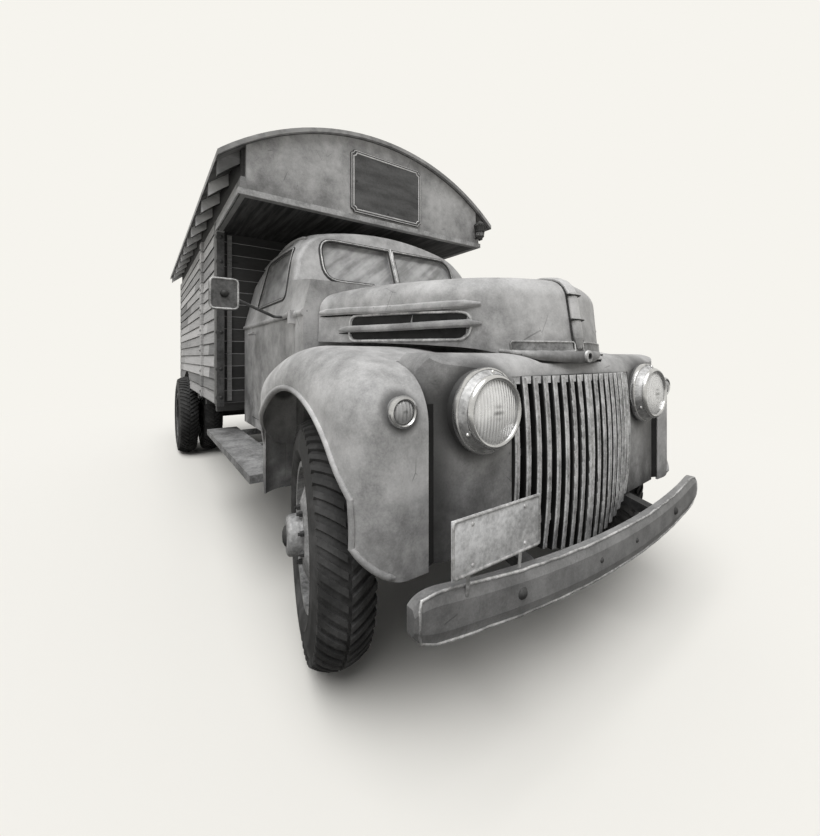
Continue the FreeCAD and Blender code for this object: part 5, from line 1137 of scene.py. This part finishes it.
def sign_outline(station, inset=0.0):
    """Points round the sign, with a quarter circle bitten out of each corner."""
    points = []
    for turn, (sy, sz) in enumerate(((-1, -1), (1, -1), (1, 1), (-1, 1))):
        y, z = SIGN_MIDDLE[0] + sy * (SIGN_HALF_Y - inset), SIGN_MIDDLE[1] + sz * (SIGN_HALF_Z - inset)
        for i in range(5):
            angle = radians(90 + 90 * turn - 90 * i / 4)
            points.append(at(station, y + SIGN_NOTCH * cos(angle), z + SIGN_NOTCH * sin(angle)))
    return points


def sign_trim():
    """The blank board over the cab, with pale lines round it and its screws."""
    panel, border, screws = bmesh.new(), bmesh.new(), bmesh.new()
    face = OVER_FRONT + SIGN_THICK
    sweep(panel, [sign_outline(OVER_FRONT + 0.0005), sign_outline(face)])
    piece("sign_panel", panel, SIGN, crease=None, instead_of="sign_board")
    strip(border, flat(sign_outline(face, SIGN_MARGIN), AHEAD), *SIGN_LINE, loop=True)
    strip(border, flat(sign_outline(face - 0.001, SIGN_EDGE), AHEAD), *SIGN_RIM, loop=True)
    piece("sign_border", border, PALE_WOOD)
    for sy, sz in ((-1, 0), (1, 0), (0, -1), (0, 1)):
        y, z = sy * (SIGN_HALF_Y - SIGN_MARGIN * 2), sz * (SIGN_HALF_Z - SIGN_MARGIN * 2)
        bolt(screws, at(face, SIGN_MIDDLE[0] + y, SIGN_MIDDLE[1] + z), AHEAD, 0.005, 0.003)
    piece("sign_screws", screws, FRAME_STEEL)


def roof_arc(station):
    """Points and normals across the roof's top at a station, from eave to eave."""
    return from_above("roof_skin", [(station, p.x) for p in between((-ROOF_HALF, 0), (ROOF_HALF, 0), 33)])


def roof_trim():
    """Lap strips over the roofing's joints, and the drip edge along both ends and eaves."""
    laps, edges = bmesh.new(), bmesh.new()
    for station in ROOF_SEAMS:
        strip(laps, roof_arc(station), *ROOF_LAP)
    piece("roof_laps", laps, TIN)
    for station, inward in zip(EAVE_STATIONS, (-1, 1)):
        strip(edges, roof_arc(station + inward * EAVE_INSET), *ROOF_END)
    for _, sign in SIDES:
        spots = from_above("roof_skin", [(x, sign * (ROOF_HALF + 0.004)) for x in EAVE_STRIP])
        strip(edges, spots, *ROOF_EAVE)
    piece("roof_edges", edges, POST_STEEL)


def lantern_trim():
    """Glass and cage round the corner lantern."""
    x, y = LANTERN_AXIS
    glass, cage = bmesh.new(), bmesh.new()
    turned(glass, LANTERN_GLASS, Matrix.Translation(at(x, y, LANTERN_LOW)), 28)
    piece("lantern_glass", glass, PALE_WOOD)
    for i in range(4):
        out = Vector((cos(tau * (i + 0.5) / 4), sin(tau * (i + 0.5) / 4), 0))
        foot, head = at(x, y, LANTERN_LOW) + out * LANTERN_FOOT, at(x, y, LANTERN_HIGH) + out * LANTERN_HEAD
        rod(cage, foot, head, LANTERN_BAR, None, 8)
    for radius, z in LANTERN_RINGS:
        ring = rectangle((radius - 0.003, -0.003), (radius + 0.002, 0.003))
        turned(cage, ring, Matrix.Translation(at(x, y, z)), 24, closed=True)
    piece("lantern_cage", cage, FRAME_STEEL)


# Rear, as y and height
DOOR_FACE, LEDGE_FACE, WALL_FACE = -4.897, -4.917, -4.89
LEDGES, LEDGE_HALF_Y, LEDGE_HALF_Z = (1.13, 1.56, 2.0), 0.3, 0.045
BRACES, BRACE_ENDS = ((1.175, 1.515), (1.605, 1.955)), ((-0.29, -0.2), (0.29, 0.2))
LATCH_STRAP, HINGE_STRAP, HINGE_HEIGHTS = (0.2, 0.25, 0.297), (-0.25, -0.1, 0.02), (1.23, 1.93)
HANDLE_Y, HANDLE_TOP, HANDLE_LOW, SPINDLE_RADIUS, HANDLE_RADIUS = 0.26, 1.56, 1.45, 0.008, 0.007
SPINDLE_ENDS, HANDLE_OUT = (0.002, 0.034), 0.032
TAIL_LAMPS, TAIL_LENS_OUT, TAIL_LENS, TAIL_SQUEEZE = ((0.7, 0.9), (-0.7, 0.9)), 0.036, 0.0385, (0.45, 1, 1)
TAIL_SHELL = [(0, 0), (0.04, 0), (0.046, 0.008), (0.046, 0.04), (0.042, 0.046), (0.039, 0.044),
              (0.039, 0.03), (0, 0.03)]
REAR_PLATE = ((-4.8945, -0.6, 0.93), (-4.889, -0.32, 1.08))


def rear_trim():
    """Ledges and braces on the rear door, its latch and straps, tail lamps and a blank plate."""
    wood, irons, shells, lenses = (bmesh.new() for _ in range(4))
    for z in LEDGES:
        low = at(LEDGE_FACE, -LEDGE_HALF_Y, z - LEDGE_HALF_Z)
        block(wood, low, at(DOOR_FACE + 0.002, LEDGE_HALF_Y, z + LEDGE_HALF_Z))
    for heights in BRACES:
        points = [(y, z) for z, ends in zip(heights, BRACE_ENDS) for y in ends]
        sweep(wood, [[at(DOOR_FACE + lift, y, z) for y, z in points] for lift in (0.001, -0.018)])
    soften(wood, 0.003)
    piece("rear_door_ledges", wood, FLOOR_WOOD, "rear_door_body")
    strip(irons, flat([at(LEDGE_FACE, y, HANDLE_TOP) for y in LATCH_STRAP], BACK), *LATCH_PLATE)
    near, far = (at(LEDGE_FACE - out, HANDLE_Y, HANDLE_TOP) for out in SPINDLE_ENDS)
    rod(irons, near, far, SPINDLE_RADIUS)
    top, foot = (at(LEDGE_FACE - HANDLE_OUT, HANDLE_Y, z) for z in (HANDLE_TOP, HANDLE_LOW))
    rod(irons, top, foot, HANDLE_RADIUS)
    for z in HINGE_HEIGHTS:
        strip(irons, flat([at(DOOR_FACE - 0.0005, y, z) for y in HINGE_STRAP], BACK), *HINGE_PLATE, ends=0.4)
    piece("rear_door_irons", irons, FRAME_STEEL, "rear_door_body")
    for y, z in TAIL_LAMPS:
        turned(shells, TAIL_SHELL, facing(at(WALL_FACE + 0.001, y, z), BACK), 32)
        ball(lenses, at(WALL_FACE - TAIL_LENS_OUT, y, z), TAIL_LENS, TAIL_SQUEEZE)
    piece("tail_lamp_shells", shells, FRAME_STEEL)
    piece("tail_lamp_lenses", lenses, TAIL_GLASS)
    slab("rear_plate", at(*REAR_PLATE[0]), at(*REAR_PLATE[1]), PLATE, "dark_trim", 0.0012)


# Under the floor, as station, y and height
EXHAUST = [(-0.3, -0.235, 0.72), (-0.42, -0.24, 0.6), (-0.62, -0.25, 0.57), (-1.1, -0.26, 0.57),
           (-1.3, -0.26, 0.57)]
TAIL_PIPE = [(-2.06, -0.26, 0.57), (-2.6, -0.27, 0.57), (-3.15, -0.3, 0.62), (-3.3, -0.3, 0.66)]
PIPE_RADIUS, TAIL_PIPE_RADIUS = 0.025, 0.024
MUFFLER_START, MUFFLER_LENGTH, MUFFLER_RADIUS = (-1.28, -0.26, 0.57), 0.8, 0.085
MUFFLER_ROUND, MUFFLER_END = 0.02, 0.6
TANK = ((-2.9, 0.52, 0.47), (-2.05, 0.86, 0.72))
TANK_STRAPS, STRAP_YS, STRAP_ZS = (-2.72, -2.24), (0.56, 0.69, 0.82), (0.5, 0.6, 0.7)
STRAP_NEAR_Y, STRAP_FAR_Y, STRAP_UNDER = 0.519, 0.861, 0.4695
FILLER, FILLER_RADIUS = ((-2.2, 0.84, 0.66), (-2.2, 0.9, 0.7)), 0.028
BATTERY = ((-1.3, 0.46, 0.6), (-1.02, 0.68, 0.735))


def pipe(bm, points, radius, sides=14):
    """A round pipe through points, mitred at its bends."""
    points = [at(*p) for p in points]
    ring = [Vector((radius * cos(tau * s / sides), radius * sin(tau * s / sides), 0)) for s in range(sides)]
    outlines = []
    for before, point, after in zip(points[:1] + points, points, points[1:] + points[-1:]):
        turn = (after - before).normalized().to_track_quat("Z", "Y")
        outlines.append([point + turn @ spot for spot in ring])
    sweep(bm, outlines)


def under_floor():
    """Exhaust, strapped fuel tank with its filler, and battery box."""
    bm, tank = bmesh.new(), bmesh.new()
    pipe(bm, EXHAUST, PIPE_RADIUS)
    pipe(bm, TAIL_PIPE, TAIL_PIPE_RADIUS)
    end, wide, edge = MUFFLER_LENGTH, MUFFLER_RADIUS, MUFFLER_ROUND
    narrow = wide * MUFFLER_END
    outline = [(0, 0), (narrow, 0), (wide, edge), (wide, end - edge), (narrow, end), (0, end)]
    turned(bm, outline, facing(at(*MUFFLER_START), BACK), 28)
    piece("exhaust", bm, RUSTY)
    block(tank, at(*TANK[0]), at(*TANK[1]))
    soften(tank, 0.05, 4)
    for x in TANK_STRAPS:
        for points, normal in (
            ([at(x, STRAP_NEAR_Y, z) for z in STRAP_ZS], (0, -1, 0)),
            ([at(x, y, STRAP_UNDER) for y in STRAP_YS], DOWN),
            ([at(x, STRAP_FAR_Y, z) for z in STRAP_ZS], (0, 1, 0)),
        ):
            strip(tank, flat(points, normal), *TANK_STRAP)
    rod(tank, at(*FILLER[0]), at(*FILLER[1]), FILLER_RADIUS)
    piece("fuel_tank", tank, BOARD_STEEL)
    slab("battery_box", at(*BATTERY[0]), at(*BATTERY[1]), FRAME_STEEL, "frame_steel", 0.006)


# Inside the cab
SEAT_PLEATS, SEAT_CUTS, SEAT_SWELL = 9, 23, 0.1
SEAT_BACK, SEAT_TOP, SEAT_FOOT, SEAT_GAP = 0.13, 0.3, 0.1, 0.004
SEAT_BASE = (0.03, 0.001, 0.102)  # inset, foot and top over the node's foot
SEAT_CREASE = radians(60)
DASH_X, GAUGES = -1.0, ((0.36, 0.062), (0.2, 0.036), (0.52, 0.036))
GAUGE_Z, GLOVE_BOX = 1.385, ((-0.5, 1.33), (-0.16, 1.44))
GAUGE = [(0, 0.003), (0.84, 0.003), (0.88, 0.009), (1, 0.007), (1.04, -0.002), (0, -0.002)]  # share, height
PEDAL_YS, PEDAL_LOW, PEDAL_HIGH = (0.26, 0.42), (-0.5, 0.8), (-0.66, 0.94)  # station and height
PEDAL_PAD, PEDAL_SQUEEZE, PEDAL_STEM, PEDAL_RADIUS = (-0.672, 0.95), (0.45, 0.9, 1), 0.009, 0.036
GEAR_LEVER, GEAR_KNOB = ((-0.8, 0.02, 0.783), (-0.93, 0.05, 1.15)), (-0.934, 0.051, 1.165)
HAND_LEVER = ((-0.86, -0.1, 0.783), (-0.9, -0.1, 1.02))
GEAR_RADII, KNOB_RADIUS, HAND_RADII = (0.009, 0.007), 0.024, (0.01, 0.008)
MIRROR_GLASS, MIRROR_RIM = ((1.034, 1.386), (1.146, 1.518)), ((1.031, 1.383), (1.149, 1.521))
MIRROR_JOINT, MIRROR_JOINT_RADIUS, MIRROR_BEHIND, MIRROR_AHEAD = (1.09, 1.452), 0.019, -0.75, -0.2
SPRINGS, CLIP_HALF, CLIP_OVER = (("front_springs", 0.3), ("rear_springs", 0.4)), 0.014, 0.004
LEAF_HALF = 0.031


def cushion(bm, low, high, groove):
    """A crowned pad: a gridded block whose faces swell, with sewn channels across Y."""
    low, high = Vector(low), Vector(high)
    size, centre = high - low, (low + high) / 2
    made = bmesh.ops.create_cube(bm, size=2.0)["verts"]
    edges = list({e for v in made for e in v.link_edges})
    bmesh.ops.subdivide_edges(bm, edges=edges, cuts=SEAT_CUTS, use_grid_fill=True)
    for vert in bm.verts:
        u = vert.co.copy()
        full = [(1 - abs(u[(i + 1) % 3]) ** 4) * (1 - abs(u[(i + 2) % 3]) ** 4) for i in range(3)]
        channel = abs(cos(pi * SEAT_PLEATS * (u.y + 1) / 2)) ** 0.5
        dip = 1 - groove * (1 - channel) * max(abs(u.x), abs(u.z)) ** 6
        point = [u[i] * (1 - SEAT_SWELL * (1 - full[i]) * abs(u[i]) ** 2) * (dip if i != 1 else 1)
                 for i in range(3)]
        vert.co = centre + Vector([point[i] * size[i] / 2 for i in range(3)])


def seat():
    """The bench's cushion and back on a steel base."""
    low, high = (Vector(p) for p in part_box("bench_seat"))
    gap, back_x, top = SEAT_GAP, low.x + SEAT_BACK, low.z + SEAT_TOP
    y0, y1 = low.y + gap, high.y - gap
    bm = bmesh.new()
    cushion(bm, (back_x + gap, y0, low.z + SEAT_FOOT), (high.x - gap, y1, top - 0.002), 0.035)
    bottom = piece("seat_cushion", bm, CLOTH, crease=SEAT_CREASE)
    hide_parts("bench_seat")
    bm = bmesh.new()
    cushion(bm, (low.x + gap, y0, top - 0.05), (back_x - 0.002, y1, high.z - gap), 0.05)
    back = piece("seat_back", bm, CLOTH, crease=SEAT_CREASE)
    inset, foot, top = SEAT_BASE
    start, end = (low.x + inset, low.y + inset, low.z + foot), (high.x - inset, high.y - inset, low.z + top)
    slab("seat_base", start, end, FRAME_STEEL, "frame_steel", 0.008)


def from_behind(node, spots, station):
    """Where points (y, height) seen square from behind meet a node."""
    return [touch(node, at(station, y, z), AHEAD) for y, z in spots]


def cab_fittings():
    """Gauges, glove-box lid, pedals and levers."""
    gauges, lid, levers = bmesh.new(), bmesh.new(), bmesh.new()
    for y, radius in GAUGES:
        place, normal = from_behind("dashboard", [(y, GAUGE_Z)], DASH_X)[0]
        turned(gauges, [(radius * share, h) for share, h in GAUGE], facing(place, normal), 32)
    piece("gauges", gauges, BRIGHT)
    loop = rounded_loop(rectangle(*GLOVE_BOX), 0.015)
    strip(lid, from_behind("dashboard", loop, DASH_X), *LID_BEAD, loop=True)
    piece("glove_box_lid", lid, BLACK)
    for y in PEDAL_YS:
        foot, head, pad = (at(x, y, z) for x, z in (PEDAL_LOW, PEDAL_HIGH, PEDAL_PAD))
        rod(levers, foot, head, PEDAL_STEM)
        ball(levers, pad, PEDAL_RADIUS, PEDAL_SQUEEZE)
    rod(levers, at(*GEAR_LEVER[0]), at(*GEAR_LEVER[1]), *GEAR_RADII)
    ball(levers, at(*GEAR_KNOB), KNOB_RADIUS)
    rod(levers, at(*HAND_LEVER[0]), at(*HAND_LEVER[1]), *HAND_RADII)
    piece("pedals_and_levers", levers, BLACK)


def chassis_clips():
    """Clips round the spring leaves."""
    bm = bmesh.new()
    for node, offset in SPRINGS:
        low, high = (Vector(p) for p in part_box(node))
        for sign in (-1, 1):
            y = sign * ((high.y - low.y) / 2 - LEAF_HALF)
            for x in ((low.x + high.x) / 2 - offset, (low.x + high.x) / 2 + offset):
                top = touch(node, (x, y, high.z + 0.2), DOWN)[0]
                foot = touch(node, (x, y, low.z - 0.2), UP)[0]
                out = Vector((CLIP_HALF, LEAF_HALF + CLIP_OVER, CLIP_OVER))
                block(bm, foot - out, top + out)
    soften(bm, 0.002)
    piece("spring_clips", bm, FRAME_STEEL)


def mirror_trim():
    """Glass in the mirror heads' rear faces, rims round their fronts and the joints of their arms."""
    glass, joints, rims = bmesh.new(), bmesh.new(), bmesh.new()
    for side, sign in SIDES:
        node = f"mirror_{side}"
        loop = [(sign * y, z) for y, z in rounded_loop(rectangle(*MIRROR_GLASS), 0.018)]
        spots = from_behind(node, loop, MIRROR_BEHIND)
        sweep(glass, [[p + Vector((lift, 0, 0)) for p, _ in spots] for lift in (0.001, -0.0015)])
        y, z = MIRROR_JOINT
        ball(joints, from_front(node, [(sign * y, z)], MIRROR_AHEAD)[0][0], MIRROR_JOINT_RADIUS)
        loop = [(sign * y, z) for y, z in rounded_loop(rectangle(*MIRROR_RIM), 0.02)]
        strip(rims, from_front(node, loop, MIRROR_AHEAD), *MIRROR_BEAD, loop=True)
    piece("mirror_glass", glass, BRIGHT)
    piece("mirror_joints", joints, BLACK)
    piece("mirror_rims", rims, LIP_STEEL)


# Fenders, with the same corner rounding as the pressed panels
ARCH_CENTRE_Z, ARCH_RADIUS = 0.463, 0.568
ARCH_TURNS = (radians(32), radians(139))
FRONT_CORNER_X, FRONT_CORNER_TURNS = 0.416, (radians(14), radians(60))
REAR_CORNER_X, REAR_CORNER_TURNS = -0.36, (radians(0.5), radians(50))
CORNER_Y, CORNER_ROUND, SHEET = 0.812, 0.15, 0.008
CHIN_CENTRE_Y, CHIN_CENTRE_Z, CHIN_RADIUS = 0.792, 0.71, 0.17
SKIRT_LOW = 0.508
LIP_TURN_BACK = (radians(2), radians(2.5), radians(4))
LIP_FRONT_HEIGHTS, LIP_REAR_HEIGHTS = (0.66, 0.7), (0.74, 0.66, 0.58, 0.515)
CHIN_LIP_RISE, ARCH_GAP, ARCH_LIP_GAP = 0.009, 0.006, 0.012
SEAM_NOSE_Y, SEAM_FENDER_Y = 0.698, 0.737
SEAM_HEIGHTS = (0.552, 0.65, 0.75, 0.85, 0.95, 1.02)
SEAM_FRONT, SEAM_BACK = Vector((-0.001, 0, 0)), Vector((-0.014, 0, 0))


def steps_between(first, last, count):
    """Evenly spaced numbers from first to last."""
    return [first + (last - first) * i / (count - 1) for i in range(count)]


def chin_edge(y):
    """The rounded lower corner of a fender's front, seen from the front."""
    return CHIN_CENTRE_Z - sqrt(max(CHIN_RADIUS ** 2 - max(y - CHIN_CENTRE_Y, 0) ** 2, 0))


def corner_spot(sign, centre_x, turn, z):
    """A point and its normal on a fender's rounded vertical corner."""
    out = Vector((copysign(cos(turn), centre_x), sign * sin(turn), 0))
    return at(centre_x, sign * CORNER_Y, z) + out * CORNER_ROUND, out


def corner_sheet(bm, sign, centre_x, turns, low):
    """A curved sheet round a fender's vertical corner, from the height low gives at |y| up to the arch."""
    outlines = []
    for turn in steps_between(*turns, 11):
        outer, out = corner_spot(sign, centre_x, turn, 0)
        arch = ARCH_CENTRE_Z + sqrt(ARCH_RADIUS ** 2 - (outer.x - FRONT_AXLE) ** 2) + ARCH_GAP
        foot, head = Vector((0, 0, low(abs(outer.y)))), Vector((0, 0, arch))
        inner = outer - out * SHEET
        outlines.append([outer + foot, outer + head, inner + head, inner + foot])
    sweep(bm, outlines)


def fender_lip(side, sign):
    """The rolled lip's path: along the front corner's foot, up round the arch and down the rear corner."""
    chin, front, rear = LIP_TURN_BACK
    path = []
    for turn in steps_between(*FRONT_CORNER_TURNS, 9):
        z = chin_edge(CORNER_Y + CORNER_ROUND * sin(turn)) + CHIN_LIP_RISE
        path.append(corner_spot(sign, FRONT_CORNER_X, turn - chin, z))
    path += [corner_spot(sign, FRONT_CORNER_X, FRONT_CORNER_TURNS[1] - front, z) for z in LIP_FRONT_HEIGHTS]
    reach = ARCH_RADIUS + ARCH_LIP_GAP
    arch = [(cos(t) * reach, ARCH_CENTRE_Z + sin(t) * reach) for t in steps_between(*ARCH_TURNS, 27)]
    path += from_side(f"fender_{side}", sign, arch)
    turn = REAR_CORNER_TURNS[1] - rear
    return path + [corner_spot(sign, REAR_CORNER_X, turn, z) for z in LIP_REAR_HEIGHTS]


def fender_trim():
    """Lower corners fore and aft of the wheel, rolled lips round the arches, and near-black fillers in the
    seams to the nose, painted shade where the nose sits back.
    """
    fillers, corners, lips = bmesh.new(), bmesh.new(), bmesh.new()
    for side, sign in SIDES:
        corner_sheet(corners, sign, FRONT_CORNER_X, FRONT_CORNER_TURNS, chin_edge)
        corner_sheet(corners, sign, REAR_CORNER_X, REAR_CORNER_TURNS, lambda y: SKIRT_LOW)
        inner = from_front("nose_panel", [(sign * SEAM_NOSE_Y, z) for z in SEAM_HEIGHTS])
        outer = from_front(f"fender_{side}", [(sign * SEAM_FENDER_Y, z) for z in SEAM_HEIGHTS])
        # The seam fillers are near black: painted shade in the seam.
        sweep(fillers, [[p + SEAM_FRONT, q + SEAM_FRONT, q + SEAM_BACK, p + SEAM_BACK]
                        for (p, _), (q, _) in zip(inner, outer)])
        strip(lips, fender_lip(side, sign), *FENDER_ROLL, ends=0.5)
    piece("fender_fillers", fillers, VOID)
    piece("fender_corners", corners, FENDER_PAINT)
    piece("fender_lips", lips, FENDER_PAINT)


for make in (
    tyres, wheel_fittings, hood_side_trim, hood_nose_trim, screen_trim, door_trim, cowl_lid, headlamp_trim,
    marker_trim, grille_trim, bumper_trim, house_bolts, house_battens, sign_trim, roof_trim, lantern_trim,
    rear_trim, under_floor, seat, cab_fittings, chassis_clips, mirror_trim, fender_trim,
):
    make()


# Stage, light and camera


def stage():
    bpy.ops.mesh.primitive_plane_add(size=2 * FLOOR_HALF, location=(0, 0, 0))
    floor = bpy.context.object
    floor.name = "studio_floor"
    finish = Finish("studio_floor")
    away = finish.node("ShaderNodeVectorMath", {"operation": "LENGTH"}, [finish.place], "Value")
    seen = finish.rays("Camera", "Transmission")
    tint = [channel * FLOOR_ALBEDO / PAPER[0] for channel in PAPER[:3]]
    dim = (*(channel * BOUNCE_SHARE for channel in tint), 1.0)
    colour = finish.mix(seen, dim, (*tint, 1.0))
    ground = finish.shader(Base_Color=colour, Roughness=0.95, Specular_IOR_Level=0.0)
    glow = finish.node("ShaderNodeEmission", None, {"Color": PAPER, "Strength": 1.0})
    fade = away.rising(FADE_FROM, FADE_TO)
    both = finish.node("ShaderNodeMixShader", None, {0: fade, 1: ground, 2: glow})
    floor.data.materials.append(finish.surface(both))


def light():
    """A dim sky that the camera sees, also through glass or in gloss, as paper, and a soft sun."""
    sky = Finish("studio", bpy.data.worlds)
    colour = sky.mix(sky.rays("Camera", "Glossy", "Transmission"), AMBIENT, PAPER)
    shown = sky.node("ShaderNodeBackground", None, {"Color": colour}, "Background")
    sky.node("ShaderNodeOutputWorld", None, [shown])
    bpy.context.scene.world = sky.material
    sun_data = bpy.data.lights.new("sun", "SUN")
    sun_data.energy = SUN_STRENGTH
    sun_data.angle = SUN_SOFTNESS
    sun = bpy.data.objects.new("sun", sun_data)
    sun.rotation_euler = Vector(SUN_FROM).to_track_quat("Z", "Y").to_euler()
    bpy.context.scene.collection.objects.link(sun)


def camera():
    data = bpy.data.cameras.new("camera")
    data.sensor_fit = "HORIZONTAL"
    data.sensor_width = FILM
    data.lens = LENS
    data.shift_y = SHIFT_Y
    made = bpy.data.objects.new("camera", data)
    made.location = CAMERA_PLACE
    made.rotation_euler = (radians(90), 0, CAMERA_YAW)
    bpy.context.scene.collection.objects.link(made)
    bpy.context.scene.camera = made


stage()
light()
camera()
bpy.context.scene.view_settings.view_transform = "Standard"
